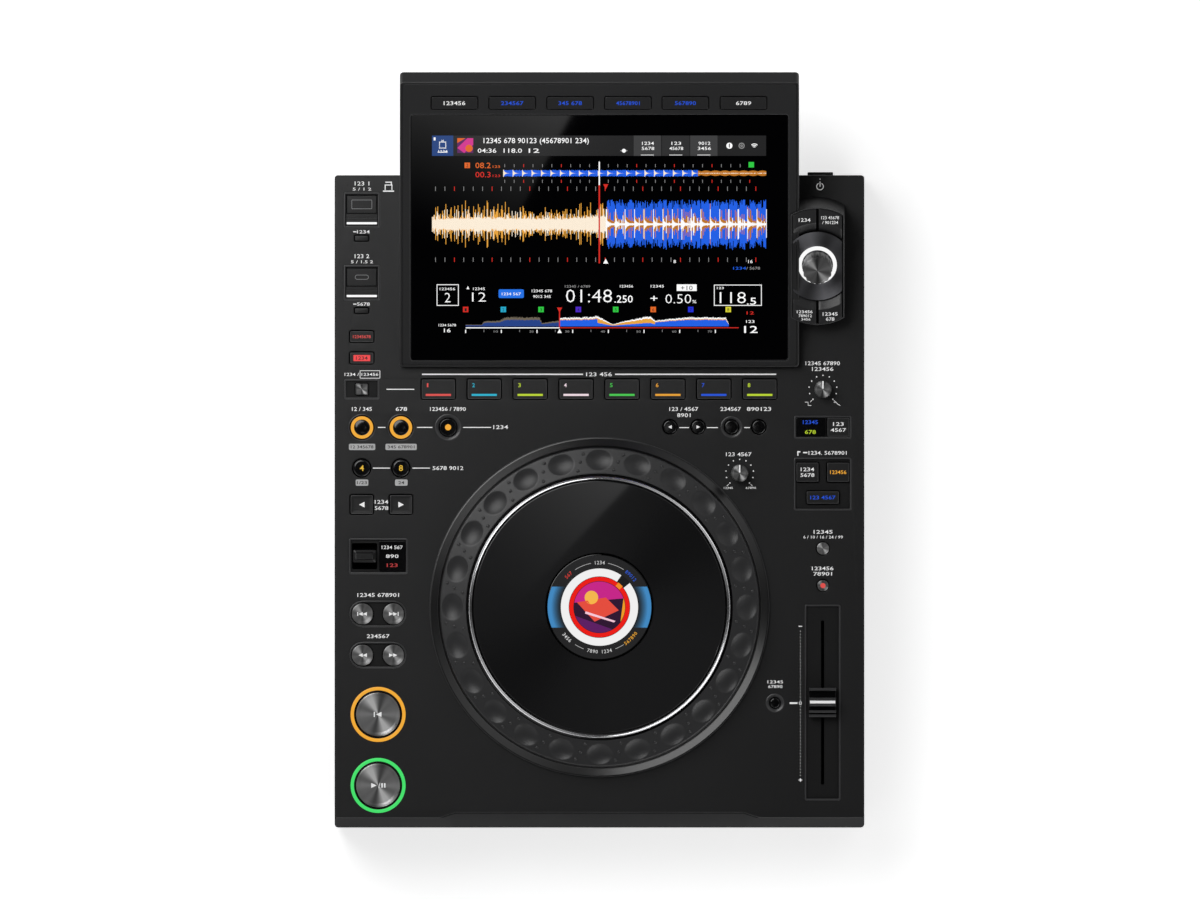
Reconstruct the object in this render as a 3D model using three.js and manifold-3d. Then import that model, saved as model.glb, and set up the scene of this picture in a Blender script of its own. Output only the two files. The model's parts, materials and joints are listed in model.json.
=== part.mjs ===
// A tabletop player for mixing music: wide deck, tilted touch display, jog wheel, pads and tempo fader.
// Millimetres, +Z up and +Y to the rear. The origin is on the ground, in the middle of the footprint.
import * as THREE from "three";
import { mergeVertices } from "three/addons/utils/BufferGeometryUtils.js";
import Module from "manifold-3d";

const wasm = await Module();
wasm.setup();

// Driving dimensions of the whole player
const bodyWidth = 329;
const overallDepth = 469.2;
const overallHeight = 118;
const deckHeight = 62;
const displayOverhang = 64;
const frontSlant = 6.1;
const panelThickness = 3;

// Clearances and cutting
const seatGap = 0.3;
const keyGap = 0.4;
const overrun = 5;

// Edges of the deck, worked out from the driving dimensions
const frontEdge = -overallDepth / 2;
const rearEdge = overallDepth / 2 - displayOverhang;
const panelFront = frontEdge + frontSlant;
const panelUnderside = deckHeight - panelThickness;
const caseTop = panelUnderside - seatGap;

// How many flat faces stand for a round form
const cornerSteps = 1;
const roundSides = 14;
const smoothSides = 32;
const wheelSides = 48;
const fineSides = 12;

// Lower case
const footHeight = 6;
const footRadius = 13;
const footTaper = 1.5;
const footInset = 30;
const footRoot = 1;
const caseCorner = 2;
const frontFootHeight = 14;
const baseSetback = 3;
const notchHalfWidth = 89.4;
const notchFlare = 10;
const notchDepth = 3.3;
const notchEaseShare = 0.333;
const edgeChamfer = 0.7;

// Keys: the part of each that is hidden under the deck, and how far it moves
const flangeWidth = 1.2;
const flangeThickness = 1.4;
const keyTravel = 1;
const keyStyles = {
  bar: { width: 14.6, depth: 7, corner: 1, rise: 1, chamfer: 0.4 },
  bank: { width: 7.7, depth: 6.9, corner: 1, rise: 1, chamfer: 0.5 },
  pad: { width: 20.9, depth: 12.3, corner: 1.1, rise: 1.4, chamfer: 0.5 },
  loop: { radius: 7.3, rise: 1.6, chamfer: 0.6 },
  loopExit: { radius: 5.4, rise: 1.2, chamfer: 0.5 },
  beat: { radius: 5.5, rise: 1.6, chamfer: 0.9 },
  jump: { width: 14.1, depth: 11.9, corner: 1.2, rise: 1.2, chamfer: 0.5 },
  seek: { radius: 6.6, rise: 1.4, chamfer: 0.6 },
  transport: { radius: 13.6, rise: 2.4, chamfer: 0.8, sides: 24 },
  call: { radius: 4.3, rise: 1.1, chamfer: 0.4, sides: fineSides },
  mode: { width: 13.8, depth: 11.9, corner: 1, rise: 1, chamfer: 0.4 },
  sync: { width: 13.9, depth: 12, corner: 1, rise: 1, chamfer: 0.4 },
  keySync: { width: 20.2, depth: 7.8, corner: 1, rise: 1, chamfer: 0.4 },
  range: { radius: 3.8, rise: 1, chamfer: 0.4, sides: fineSides },
  tempo: { radius: 3.5, rise: 1, chamfer: 0.4, sides: fineSides },
  reset: { radius: 3.1, rise: 0.8, chamfer: 0.4, sides: fineSides },
};

// Places on the deck, as shares of the body's width and of the overall depth
const keyShares = [
  { name: "quantize_key", style: "bar", bay: "bars", xShare: -0.4486, yShare: 0.1498 },
  { name: "slip_key", style: "bar", bay: "bars", xShare: -0.4486, yShare: 0.1215 },
  { name: "bank_key", style: "bank", bay: "bank", xShare: -0.4486, yShare: 0.0803 },
  { name: "loop_in_key", style: "loop", bay: "loops", xShare: -0.4483, yShare: 0.0296 },
  { name: "loop_out_key", style: "loop", bay: "loops", xShare: -0.3748, yShare: 0.0296 },
  { name: "loop_exit_key", style: "loopExit", bay: "loopExit", xShare: -0.2857, yShare: 0.0299 },
  { name: "beat_four_key", style: "beat", bay: "beats", xShare: -0.4486, yShare: -0.0241 },
  { name: "beat_eight_key", style: "beat", bay: "beats", xShare: -0.3748, yShare: -0.0241 },
  { name: "beat_jump_back_key", style: "jump", bay: "jumps", xShare: -0.4486, yShare: -0.0725 },
  { name: "beat_jump_ahead_key", style: "jump", bay: "jumps", xShare: -0.3745, yShare: -0.0725 },
  { name: "track_back_key", style: "seek", bay: "tracks", xShare: -0.4475, yShare: -0.2172 },
  { name: "track_ahead_key", style: "seek", bay: "tracks", xShare: -0.3888, yShare: -0.2172 },
  { name: "search_back_key", style: "seek", bay: "searches", xShare: -0.4475, yShare: -0.2718 },
  { name: "search_ahead_key", style: "seek", bay: "searches", xShare: -0.3888, yShare: -0.2718 },
  { name: "cue_button", style: "transport", bay: "cue", xShare: -0.4179, yShare: -0.3502 },
  { name: "play_button", style: "transport", bay: "play", xShare: -0.4179, yShare: -0.4442 },
  { name: "call_back_key", style: "call", bay: "calls", xShare: 0.1334, yShare: 0.0303 },
  { name: "call_ahead_key", style: "call", bay: "calls", xShare: 0.1863, yShare: 0.0303 },
  { name: "delete_key", style: "call", bay: "calls", xShare: 0.2492, yShare: 0.0303 },
  { name: "memory_key", style: "call", bay: "calls", xShare: 0.3009, yShare: 0.0303 },
  { name: "jog_mode_key", style: "mode", bay: "mode", xShare: 0.4511, yShare: 0.0301 },
  { name: "beat_sync_key", style: "sync", bay: "syncs", xShare: 0.3927, yShare: -0.0296 },
  { name: "master_key", style: "sync", bay: "syncs", xShare: 0.4508, yShare: -0.0296 },
  { name: "key_sync_key", style: "keySync", bay: "keySync", xShare: 0.4217, yShare: -0.0631 },
  { name: "tempo_range_key", style: "range", bay: "range", xShare: 0.4219, yShare: -0.1306 },
  { name: "master_tempo_key", style: "tempo", bay: "tempo", xShare: 0.4219, yShare: -0.1797 },
  { name: "tempo_reset_key", style: "reset", bay: "reset", xShare: 0.3313, yShare: -0.335 },
];
const padCount = 8;
const padStartShare = -0.304;
const padPitchShare = 0.08668;
const padRowShare = 0.0803;

// Shallow wells in the deck, round their keys, with the depth of the deck's frames
const wellDepth = 0.8;
const frameDepth = 0.5;
const wells = [
  { xShare: -0.4486, yShare: 0.0803, width: 21.5, depth: 12.3, corner: 1 },
  { xShare: -0.4483, yShare: 0.0296, radius: 8.2 },
  { xShare: -0.3748, yShare: 0.0296, radius: 8.2 },
  { xShare: -0.2857, yShare: 0.0299, radius: 8.1 },
  { xShare: -0.4182, yShare: -0.2172, width: 35.5, depth: 16.3, corner: 8.1, steps: 5 },
  { xShare: -0.4182, yShare: -0.2718, width: 35.5, depth: 16.3, corner: 8.1, steps: 5 },
  { xShare: 0.2492, yShare: 0.0303, radius: 6.6 },
  { xShare: 0.3313, yShare: -0.335, radius: 5.7 },
];
const frames = [
  { xShare: 0.4216, yShare: 0.0301, width: 35.4, depth: 14, corner: 1.2 },
  { xShare: 0.4216, yShare: -0.0452, width: 35.7, depth: 32.7, corner: 1.4 },
];
const transportRing = { outerRadius: 17.1, innerRadius: 14.4, rise: 0.6 };

// Jog wheel, with heights above the deck
const jogYShare = -0.2082;
const jog = {
  sizeShare: 0.1323,
  skirtWidth: 6.5,
  gripWidth: 16.3,
  grooveWidth: 1.5,
  trimWidth: 2.3,
  platterBevel: 1.1,
  mouthRadius: 33.3,
  lift: 0.6,
  rimBand: 1,
  shoulderRise: 11.4,
  edgeRound: 0.8,
  ringRise: 14.6,
  grooveDepth: 1.2,
  grooveSlope: 0.4,
  trimRise: 15.6,
  platterRise: 15.2,
  wall: 3.2,
  rimWall: 9.6,
  hollowInnerRadius: 60,
  hubRadius: 30,
  hubDrop: 12,
  dimpleCount: 24,
  dimpleSetback: 7.8,
  dimpleWidth: 16.1,
  dimpleLength: 12.9,
  dimpleDepth: 1.8,
  dimpleSides: 10,
  dimpleSteps: 5,
};
const spindle = {
  radius: 14,
  footRadius: 24,
  footThickness: 3,
  drumRise: 15.9,
  domeRise: 0.4,
  drumThickness: 6,
};
const hubClearance = 1;

// Tempo fader
const fader = {
  xShare: 0.4213,
  yShare: -0.3344,
  frameWidth: 22.1,
  frameLength: 121.4,
  frameCorner: 1.2,
  slotWidth: 1.9,
  travel: 47.5,
  capWidth: 16.8,
  capLength: 18.8,
  capHeight: 9,
  stemWidth: 1.3,
  stemLength: 6,
  stemRoot: 0.5,
  carriageWidth: 7,
  carriageLength: 12,
  carriageHeight: 6,
};
// Half of the cap's stepped side profile, as shares of its length and height
const capProfileShares = [
  [0.5, 0],
  [0.5, 0.24],
  [0.4, 0.34],
  [0.4, 0.52],
  [0.26, 0.66],
  [0.26, 0.84],
  [0.07, 1],
  [0, 0.94],
];

// Direction lever
const lever = {
  xShare: -0.4435,
  yShare: -0.1408,
  bezelXShare: -0.4173,
  bezelWidth: 36.3,
  bezelDepth: 22,
  bezelCorner: 1.2,
  windowXShare: -0.3912,
  windowWidth: 16.3,
  windowDepth: 18.8,
  windowCorner: 1,
  windowRise: 0.6,
  slotWidth: 15.6,
  slotDepth: 16.3,
  slotCorner: 0.8,
  baseWidth: 14.4,
  baseDepth: 8,
  gripWidth: 11.5,
  gripDepth: 4.5,
  gripCorner: 1,
  baseRise: 1.7,
  waistRise: 3,
  gripRise: 8.5,
  pivotDrop: 9,
  axleRadius: 2.2,
  pocketDrop: 16,
};

// Small turning knobs
const knob = {
  radius: 5.5,
  rise: 9,
  draft: 0.3,
  chamfer: 0.5,
  stemRadius: 2.5,
  stemDrop: 9,
  markWidth: 1,
  markDepth: 0.5,
};
const knobShares = [
  { name: "jog_feel_knob", xShare: 0.2647, yShare: -0.0309 },
  { name: "stop_speed_knob", xShare: 0.4219, yShare: 0.0801 },
];

// Browse selector: a pod beside the display, as high as the display's face, with a dish and four keys
const selector = {
  standoff: 11.4,
  setbackShare: 0.354,
  podHalfWidth: 16.7,
  podHalfLength: 37.9,
  podEndRadius: 32,
  podRearSlope: 6.6,
  podRise: 0.6,
  keyHalfWidth: 15.1,
  keyHalfLength: 37.9,
  keyEndRadius: 30,
  keyArcRadius: 22.6,
  keyBetween: 1.9,
  keyRise: 1.3,
  dishRadius: 21.8,
  dishFloorRadius: 12.8,
  dishDepth: 2.4,
  ringOuterRadius: 12,
  ringInnerRadius: 10,
  ringRise: 0.8,
  knobRadius: 9.3,
  knobRise: 11,
  knobChamfer: 0.8,
  fluteCount: 16,
  fluteDepth: 0.55,
  shaftRadius: 3,
  shaftRise: 7,
  shaftDrop: 10,
  press: 0.8,
};

// Memory stick bays with their flaps
const stickBay = {
  xShare: -0.4486,
  yShares: [0.3176, 0.2212],
  frameWidth: 22.3,
  frameDepth: 21.7,
  frameCorner: 1,
  mouthWidth: 19.2,
  mouthDepth: 11.6,
  mouthSetback: 1.6,
  swingRoom: 13,
  slotWidth: 13,
  slotDepth: 5.4,
  slotDrop: 14,
  flapThickness: 1.6,
};

// Display housing, glass and keys
const display = {
  halfWidth: 0.3769 * bodyWidth,
  frontY: 0.1098 * overallDepth,
  frontRise: 5,
  rearBevelRun: 6.1,
  rearBevelDrop: 5,
  rearWallHeight: 20,
  rearWallLean: 3,
  neckInset: 6,
  edgeRound: 1.8,
  glassSideSetback: 6.9,
  glassFrontSetback: 4.4,
  glassRearSetback: 21.4,
  glassThickness: 2,
  glassCorner: 1.5,
  keyWidth: 28.4,
  keyDepth: 7.7,
  keyCorner: 1,
  keyRise: 0.9,
  keyReach: 3.2,
  keyPocket: 4.6,
  keyRowSetback: 13.6,
};
const displayKeyShares = [-0.2736, -0.1647, -0.0553, 0.0538, 0.1623, 0.272];
const displayKeyNames = ["source", "browse", "list", "playlist", "search_text", "menu"];

// Rear wall: mains inlet, sockets, audio jacks and power button
const rear = {
  socketHeight: 33,
  inlet: { xShare: -0.365, width: 27.5, height: 20, corner: 2, depth: 15 },
  network: { xShare: -0.2, width: 12.4, height: 9.4, corner: 0.4, depth: 12 },
  dataPort: { xShare: -0.12, width: 9, height: 8.2, corner: 1.4, depth: 10 },
  jackShares: [0.05, 0.17, 0.24],
  jackRadius: 4.4,
  jackBore: 1.8,
  jackBoreSides: 8,
  jackReach: 8,
  lock: { xShare: 0.33, width: 7, height: 3, corner: 1.2, depth: 6 },
};
const power = {
  xShare: 0.4169,
  width: 15.9,
  height: 8,
  corner: 1,
  rise: 1.9,
  chamfer: 0.5,
  drop: 14,
  reach: 6,
  travel: 1.2,
};

// Finishes
const finishes = {
  shell: new THREE.MeshStandardMaterial({ color: 0x1c1c1d, roughness: 0.55, metalness: 0 }),
  panel: new THREE.MeshStandardMaterial({ color: 0x242426, roughness: 0.5, metalness: 0.1 }),
  glass: new THREE.MeshStandardMaterial({ color: 0x050506, roughness: 0.08, metalness: 0 }),
  key: new THREE.MeshStandardMaterial({ color: 0x2e2e30, roughness: 0.45, metalness: 0 }),
  pad: new THREE.MeshStandardMaterial({ color: 0x4a4a4c, roughness: 0.6, metalness: 0 }),
  metal: new THREE.MeshStandardMaterial({ color: 0x8f9092, roughness: 0.25, metalness: 1 }),
  wheel: new THREE.MeshStandardMaterial({ color: 0x3a3a3c, roughness: 0.5, metalness: 0.2 }),
};

const player = new THREE.Group();

// A closed three.js geometry becomes a solid that can be cut and joined.
function solidOf(geometry) {
  const bare = geometry.clone();
  bare.deleteAttribute("normal");
  bare.deleteAttribute("uv");
  const merged = mergeVertices(bare);
  return new wasm.Manifold(
    new wasm.Mesh({
      numProp: 3,
      vertProperties: new Float32Array(merged.attributes.position.array),
      triVerts: new Uint32Array(merged.index.array),
    }),
  );
}

function geometryOf(solid) {
  const mesh = solid.getMesh();
  const geometry = new THREE.BufferGeometry();
  geometry.setAttribute("position", new THREE.BufferAttribute(mesh.vertProperties, mesh.numProp));
  geometry.setIndex(new THREE.BufferAttribute(mesh.triVerts, 1));
  geometry.computeVertexNormals();
  return geometry;
}

function join(geometries) {
  return geometries.map(solidOf).reduce((whole, part) => whole.add(part));
}

function cut(base, cutters) {
  return base.subtract(join(cutters));
}

function addPart(name, geometry, finish, parent = player) {
  const mesh = new THREE.Mesh(geometry, finish);
  mesh.name = name;
  parent.add(mesh);
  return mesh;
}

function deckPoint(share) {
  return new THREE.Vector3(share.xShare * bodyWidth, share.yShare * overallDepth, deckHeight);
}

// Points of a rectangle with round corners, drawn in by inset (or let out where it is negative).
function rectangleRing({ width, depth, corner, steps = cornerSteps }, inset = 0) {
  const points = [];
  const radius = corner - inset;
  for (let quarter = 0; quarter < 4; quarter++) {
    const sideX = quarter === 0 || quarter === 3 ? 1 : -1;
    const sideY = quarter < 2 ? 1 : -1;
    for (let step = 0; step <= steps; step++) {
      const angle = (Math.PI / 2) * (quarter + step / steps);
      const x = sideX * (width / 2 - corner) + radius * Math.cos(angle);
      const y = sideY * (depth / 2 - corner) + radius * Math.sin(angle);
      points.push(new THREE.Vector2(x, y));
    }
  }
  return points;
}

function circleRing({ radius, sides = roundSides }, inset = 0) {
  const points = [];
  for (let side = 0; side < sides; side++) {
    const angle = (2 * Math.PI * side) / sides;
    points.push(new THREE.Vector2((radius - inset) * Math.cos(angle), (radius - inset) * Math.sin(angle)));
  }
  return points;
}

function ringOf(outline, inset = 0) {
  return outline.radius ? circleRing(outline, inset) : rectangleRing(outline, inset);
}

// A closed form through convex rings that lie over one another, from the lowest to the highest.
function stack(rings) {
  const count = rings[0].points.length;
  const positions = [];
  const index = [];
  rings.forEach(({ points, height }) => points.forEach((point) => positions.push(point.x, point.y, height)));
  for (let level = 0; level < rings.length - 1; level++) {
    for (let side = 0; side < count; side++) {
      const low = level * count + side;
      const lowNext = level * count + ((side + 1) % count);
      index.push(low, lowNext, lowNext + count, low, lowNext + count, low + count);
    }
  }
  const top = (rings.length - 1) * count;
  for (let side = 1; side < count - 1; side++) {
    index.push(0, side + 1, side);
    index.push(top, top + side, top + side + 1);
  }
  const geometry = new THREE.BufferGeometry();
  geometry.setAttribute("position", new THREE.Float32BufferAttribute(positions, 3));
  geometry.setIndex(index);
  return geometry;
}

function prism(outline, bottom, top, inset = 0) {
  const points = ringOf(outline, inset);
  return stack([
    { points, height: bottom },
    { points, height: top },
  ]);
}

function extruded(points, bottom, top) {
  const shape = points.isShape ? points : new THREE.Shape(points);
  const geometry = new THREE.ExtrudeGeometry(shape, { depth: top - bottom, bevelEnabled: false });
  return geometry.translate(0, 0, bottom);
}

// A side profile, drawn in Y and Z, stretched along X over the given width and centred there.
function sideProfile(points, width, bevel = 0) {
  const shape = new THREE.Shape(points);
  const settings = {
    depth: width - 2 * bevel,
    bevelEnabled: bevel > 0,
    bevelThickness: bevel,
    bevelSize: bevel,
    bevelOffset: -bevel,
    bevelSegments: 2,
  };
  const geometry = new THREE.ExtrudeGeometry(shape, settings);
  geometry.translate(0, 0, bevel - width / 2);
  const turn = new THREE.Matrix4().makeBasis(
    new THREE.Vector3(0, 1, 0),
    new THREE.Vector3(0, 0, 1),
    new THREE.Vector3(1, 0, 0),
  );
  return geometry.applyMatrix4(turn);
}

// A profile of radius and height, turned round the Z axis.
function turned(profile, sides) {
  const points = profile.map(([radius, height]) => new THREE.Vector2(radius, height));
  return new THREE.LatheGeometry(points, sides).rotateX(Math.PI / 2);
}

function at(geometry, point) {
  return geometry.translate(point.x, point.y, point.z);
}

// Points a form that was drawn upwards to the rear.
function facingRear(geometry) {
  return geometry.rotateX(-Math.PI / 2);
}

// Keys

const deckKeys = keyShares.map((key) => ({ ...key, outline: keyStyles[key.style] }));
for (let pad = 0; pad < padCount; pad++) {
  deckKeys.push({
    name: `pad_${pad + 1}`,
    style: "pad",
    bay: "pads",
    outline: keyStyles.pad,
    xShare: padStartShare + pad * padPitchShare,
    yShare: padRowShare,
  });
}
const flangeTop = -panelThickness - seatGap;
const flangeBottom = flangeTop - flangeThickness;
const bayFloor = flangeBottom - keyTravel - seatGap;

function keyCap(outline) {
  return stack([
    { points: ringOf(outline, -flangeWidth), height: flangeBottom },
    { points: ringOf(outline, -flangeWidth), height: flangeTop },
    { points: ringOf(outline), height: flangeTop },
    { points: ringOf(outline), height: outline.rise - outline.chamfer },
    { points: ringOf(outline, outline.chamfer), height: outline.rise },
  ]);
}

function addDeckKeys() {
  const metalStyles = ["transport", "seek", "call", "bank", "reset", "range", "tempo"];
  deckKeys.forEach((key) => {
    const plain = key.style === "pad" ? finishes.pad : finishes.key;
    const finish = metalStyles.includes(key.style) ? finishes.metal : plain;
    addPart(key.name, keyCap(key.outline), finish).position.copy(deckPoint(key));
  });
}

// The openings in the deck that the keys pass through.
function keyOpenings() {
  return deckKeys.map((key) => {
    const opening = prism(key.outline, -panelThickness - overrun, overrun, -keyGap);
    return at(opening, deckPoint(key));
  });
}

// The pockets under the deck: keys of one bay share a pocket with room for their flanges.
function keyPockets() {
  const bays = new Map();
  deckKeys.forEach((key) => {
    const centre = deckPoint(key);
    const halfWidth = (key.outline.radius ?? key.outline.width / 2) + flangeWidth + seatGap;
    const halfDepth = (key.outline.radius ?? key.outline.depth / 2) + flangeWidth + seatGap;
    const box = bays.get(key.bay) ?? new THREE.Box2();
    box.expandByPoint(new THREE.Vector2(centre.x - halfWidth, centre.y - halfDepth));
    box.expandByPoint(new THREE.Vector2(centre.x + halfWidth, centre.y + halfDepth));
    bays.set(key.bay, box);
  });
  return [...bays.values()].map((box) => {
    const size = box.getSize(new THREE.Vector2());
    const centre = box.getCenter(new THREE.Vector2());
    const pocket = new THREE.BoxGeometry(size.x, size.y, overrun - bayFloor);
    return pocket.translate(centre.x, centre.y, deckHeight + (overrun + bayFloor) / 2);
  });
}

// Lower case

function planOutline(front) {
  return { width: bodyWidth, depth: rearEdge - front, corner: caseCorner, steps: 2 };
}

function planPrism(front, bottom, top) {
  return prism(planOutline(front), bottom, top).translate(0, (rearEdge + front) / 2, 0);
}

// The notch in the middle of the front runs out to nothing at the foot of the slanted face.
function frontNotch() {
  const outer = frontEdge - overrun;
  const trapezoid = (back, flare) => [
    new THREE.Vector2(-notchHalfWidth - flare, outer),
    new THREE.Vector2(notchHalfWidth + flare, outer),
    new THREE.Vector2(notchHalfWidth + flare, back - flare * notchEaseShare),
    new THREE.Vector2(notchHalfWidth, back),
    new THREE.Vector2(-notchHalfWidth, back),
    new THREE.Vector2(-notchHalfWidth - flare, back - flare * notchEaseShare),
  ];
  return stack([
    { points: trapezoid(frontEdge, notchFlare), height: frontFootHeight },
    { points: trapezoid(panelFront + notchDepth, notchFlare), height: deckHeight },
  ]);
}

function rearCut({ xShare, width, height, corner, depth }, centreHeight) {
  const opening = prism({ width, depth: height, corner }, -depth, overrun);
  return facingRear(opening).translate(xShare * bodyWidth, rearEdge, centreHeight);
}

function buildLowerCase() {
  const profile = [
    new THREE.Vector2(rearEdge, footHeight),
    new THREE.Vector2(rearEdge, caseTop),
    new THREE.Vector2(panelFront, caseTop),
    new THREE.Vector2(frontEdge, frontFootHeight),
    new THREE.Vector2(frontEdge + baseSetback, footHeight),
  ];
  const plan = planPrism(frontEdge, 0, deckHeight);
  let body = solidOf(sideProfile(profile, bodyWidth)).intersect(solidOf(plan));
  const footProfile = [
    [0, 0],
    [footRadius - footTaper, 0],
    [footRadius, footHeight],
    [footRadius, footHeight + footRoot],
    [0, footHeight + footRoot],
  ];
  const footXs = [-bodyWidth / 2 + footInset, bodyWidth / 2 - footInset];
  const footYs = [frontEdge + footInset, rearEdge - footInset];
  footXs.forEach((x) =>
    footYs.forEach((y) => {
      body = body.add(solidOf(turned(footProfile, roundSides).translate(x, y, 0)));
    }),
  );
  rear.jackShares.forEach((share) => {
    const barrel = prism({ radius: rear.jackRadius }, -seatGap, rear.jackReach);
    body = body.add(solidOf(facingRear(barrel).translate(share * bodyWidth, rearEdge, rear.socketHeight)));
  });
  const jackBores = rear.jackShares.map((share) => {
    const outline = { radius: rear.jackBore, sides: rear.jackBoreSides };
    const bore = prism(outline, seatGap, rear.jackReach + overrun);
    return facingRear(bore).translate(share * bodyWidth, rearEdge, rear.socketHeight);
  });
  const powerHole = {
    ...power,
    width: power.width + 2 * keyGap,
    height: power.height + 2 * keyGap,
    depth: power.reach + power.travel + seatGap,
  };
  const cutters = [
    frontNotch(),
    ...keyPockets(),
    ...jackBores,
    rearCut(rear.inlet, rear.socketHeight),
    rearCut(rear.network, rear.socketHeight),
    rearCut(rear.dataPort, rear.socketHeight),
    rearCut(rear.lock, rear.socketHeight),
    rearCut(powerHole, deckHeight - power.drop),
    spindlePocket(),
    faderTrench(),
    leverPocket(),
    ...knobPockets(),
    ...stickPockets(),
  ];
  addPart("lower_case", geometryOf(cut(body, cutters)), finishes.shell);
}

function addPowerButton() {
  const outline = { ...power, depth: power.height };
  const cap = stack([
    { points: ringOf(outline), height: -power.reach },
    { points: ringOf(outline), height: power.rise - power.chamfer },
    { points: ringOf(outline, power.chamfer), height: power.rise },
  ]);
  const button = addPart("power_button", facingRear(cap), finishes.key);
  button.position.set(power.xShare * bodyWidth, rearEdge, deckHeight - power.drop);
}

// Top panel

function buildTopPanel() {
  const plan = planOutline(panelFront);
  const plate = stack([
    { points: ringOf(plan), height: panelUnderside },
    { points: ringOf(plan), height: deckHeight - edgeChamfer },
    { points: ringOf(plan, edgeChamfer), height: deckHeight },
  ]).translate(0, (rearEdge + panelFront) / 2, 0);
  const wellCuts = wells.map((well) => at(prism(well, -wellDepth, overrun), deckPoint(well)));
  const frameCuts = frames.map((frame) => at(prism(frame, -frameDepth, overrun), deckPoint(frame)));
  const transportRings = deckKeys
    .filter((key) => key.style === "transport")
    .map((key) => at(transportCollar(), deckPoint(key)));
  const base = transportRings.reduce((whole, ring) => whole.add(solidOf(ring)), solidOf(plate));
  const cutters = [
    frontNotch(),
    ...keyOpenings(),
    ...wellCuts,
    ...frameCuts,
    jogHole(),
    ...faderOpenings(),
    ...leverOpenings(),
    ...knobOpenings(),
    ...stickOpenings(),
  ];
  const panel = cut(base, cutters).add(solidOf(leverWindow()));
  addPart("top_panel", geometryOf(panel), finishes.panel);
}

function transportCollar() {
  const { outerRadius, innerRadius, rise } = transportRing;
  const root = -panelThickness / 2;
  const profile = [
    [innerRadius, root],
    [outerRadius, root],
    [outerRadius, rise],
    [innerRadius, rise],
    [innerRadius, root],
  ];
  return turned(profile, smoothSides);
}

// Jog wheel and the fixed round display it turns round

const jogCentre = new THREE.Vector3(0, jogYShare * overallDepth, deckHeight);

// The wheel's radii, from its rim inwards
const rimRadius = jog.sizeShare * (bodyWidth + overallDepth);
const shoulderRadius = rimRadius - jog.skirtWidth;
const gripInnerRadius = shoulderRadius - jog.gripWidth;
const trimOuterRadius = gripInnerRadius - jog.grooveWidth;
const trimInnerRadius = trimOuterRadius - jog.trimWidth;
const platterRadius = trimInnerRadius - jog.platterBevel;
const dimpleRadius = shoulderRadius - jog.dimpleSetback;

const spindleFootTop = -jog.hubDrop - seatGap;
const spindleFloor = spindleFootTop - spindle.footThickness - seatGap;
const hubOpening = { radius: jog.hubRadius + hubClearance, sides: smoothSides };

function jogHole() {
  return at(prism(hubOpening, -panelThickness - overrun, overrun), jogCentre);
}

function spindlePocket() {
  return at(prism(hubOpening, spindleFloor, overrun), jogCentre);
}

function buildSpindle() {
  const { radius, footRadius, footThickness, drumRise, domeRise, drumThickness } = spindle;
  const drumRadius = jog.mouthRadius - keyGap;
  const profile = [
    [0, spindleFootTop - footThickness],
    [footRadius, spindleFootTop - footThickness],
    [footRadius, spindleFootTop],
    [radius, spindleFootTop],
    [radius, drumRise - drumThickness],
    [drumRadius, drumRise - drumThickness],
    [drumRadius, drumRise - edgeChamfer],
    [drumRadius - edgeChamfer, drumRise],
    [0, drumRise + domeRise],
  ];
  addPart("jog_display", turned(profile, smoothSides), finishes.glass).position.copy(jogCentre);
}

function wheelProfile() {
  const drumSeat = spindle.drumRise - spindle.drumThickness - seatGap;
  const boreRadius = spindle.radius + keyGap;
  const hollowTop = jog.shoulderRise - jog.wall;
  const grooveFloor = jog.ringRise - jog.grooveDepth;
  return [
    [boreRadius, -jog.hubDrop],
    [jog.hubRadius, -jog.hubDrop],
    [jog.hubRadius, jog.lift],
    [jog.hollowInnerRadius, jog.lift],
    [jog.hollowInnerRadius, hollowTop],
    [rimRadius - jog.rimWall, hollowTop],
    [rimRadius - jog.rimWall, jog.lift],
    [rimRadius, jog.lift],
    [rimRadius, jog.lift + jog.rimBand],
    [shoulderRadius, jog.shoulderRise - jog.edgeRound],
    [shoulderRadius - jog.edgeRound, jog.shoulderRise],
    [gripInnerRadius, jog.ringRise],
    [gripInnerRadius - jog.grooveSlope, grooveFloor],
    [trimOuterRadius, grooveFloor],
    [trimOuterRadius - jog.grooveSlope, jog.trimRise],
    [trimInnerRadius, jog.trimRise],
    [platterRadius, jog.platterRise],
    [jog.mouthRadius, jog.platterRise],
    [jog.mouthRadius, drumSeat],
    [boreRadius, drumSeat],
    [boreRadius, -jog.hubDrop],
  ];
}

// Each oval dimple is half of a flattened ball whose middle lies in the sloping ring.
function dimpleCutters() {
  const run = shoulderRadius - jog.edgeRound - gripInnerRadius;
  const slope = Math.atan2(jog.ringRise - jog.shoulderRise, run);
  const height = jog.ringRise - (dimpleRadius - gripInnerRadius) * Math.tan(slope);
  const cutters = [];
  for (let dimple = 0; dimple < jog.dimpleCount; dimple++) {
    const oval = new THREE.SphereGeometry(1, jog.dimpleSides, jog.dimpleSteps).rotateX(Math.PI / 2);
    oval.scale(jog.dimpleLength / 2, jog.dimpleWidth / 2, jog.dimpleDepth);
    oval.rotateY(slope).translate(dimpleRadius, 0, height);
    cutters.push(oval.rotateZ((2 * Math.PI * dimple) / jog.dimpleCount));
  }
  return cutters;
}

function buildJogWheel() {
  const wheel = cut(solidOf(turned(wheelProfile(), wheelSides)), dimpleCutters());
  addPart("jog_wheel", geometryOf(wheel), finishes.wheel).position.copy(jogCentre);
}

// Tempo fader

const faderPlace = deckPoint(fader);

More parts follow.
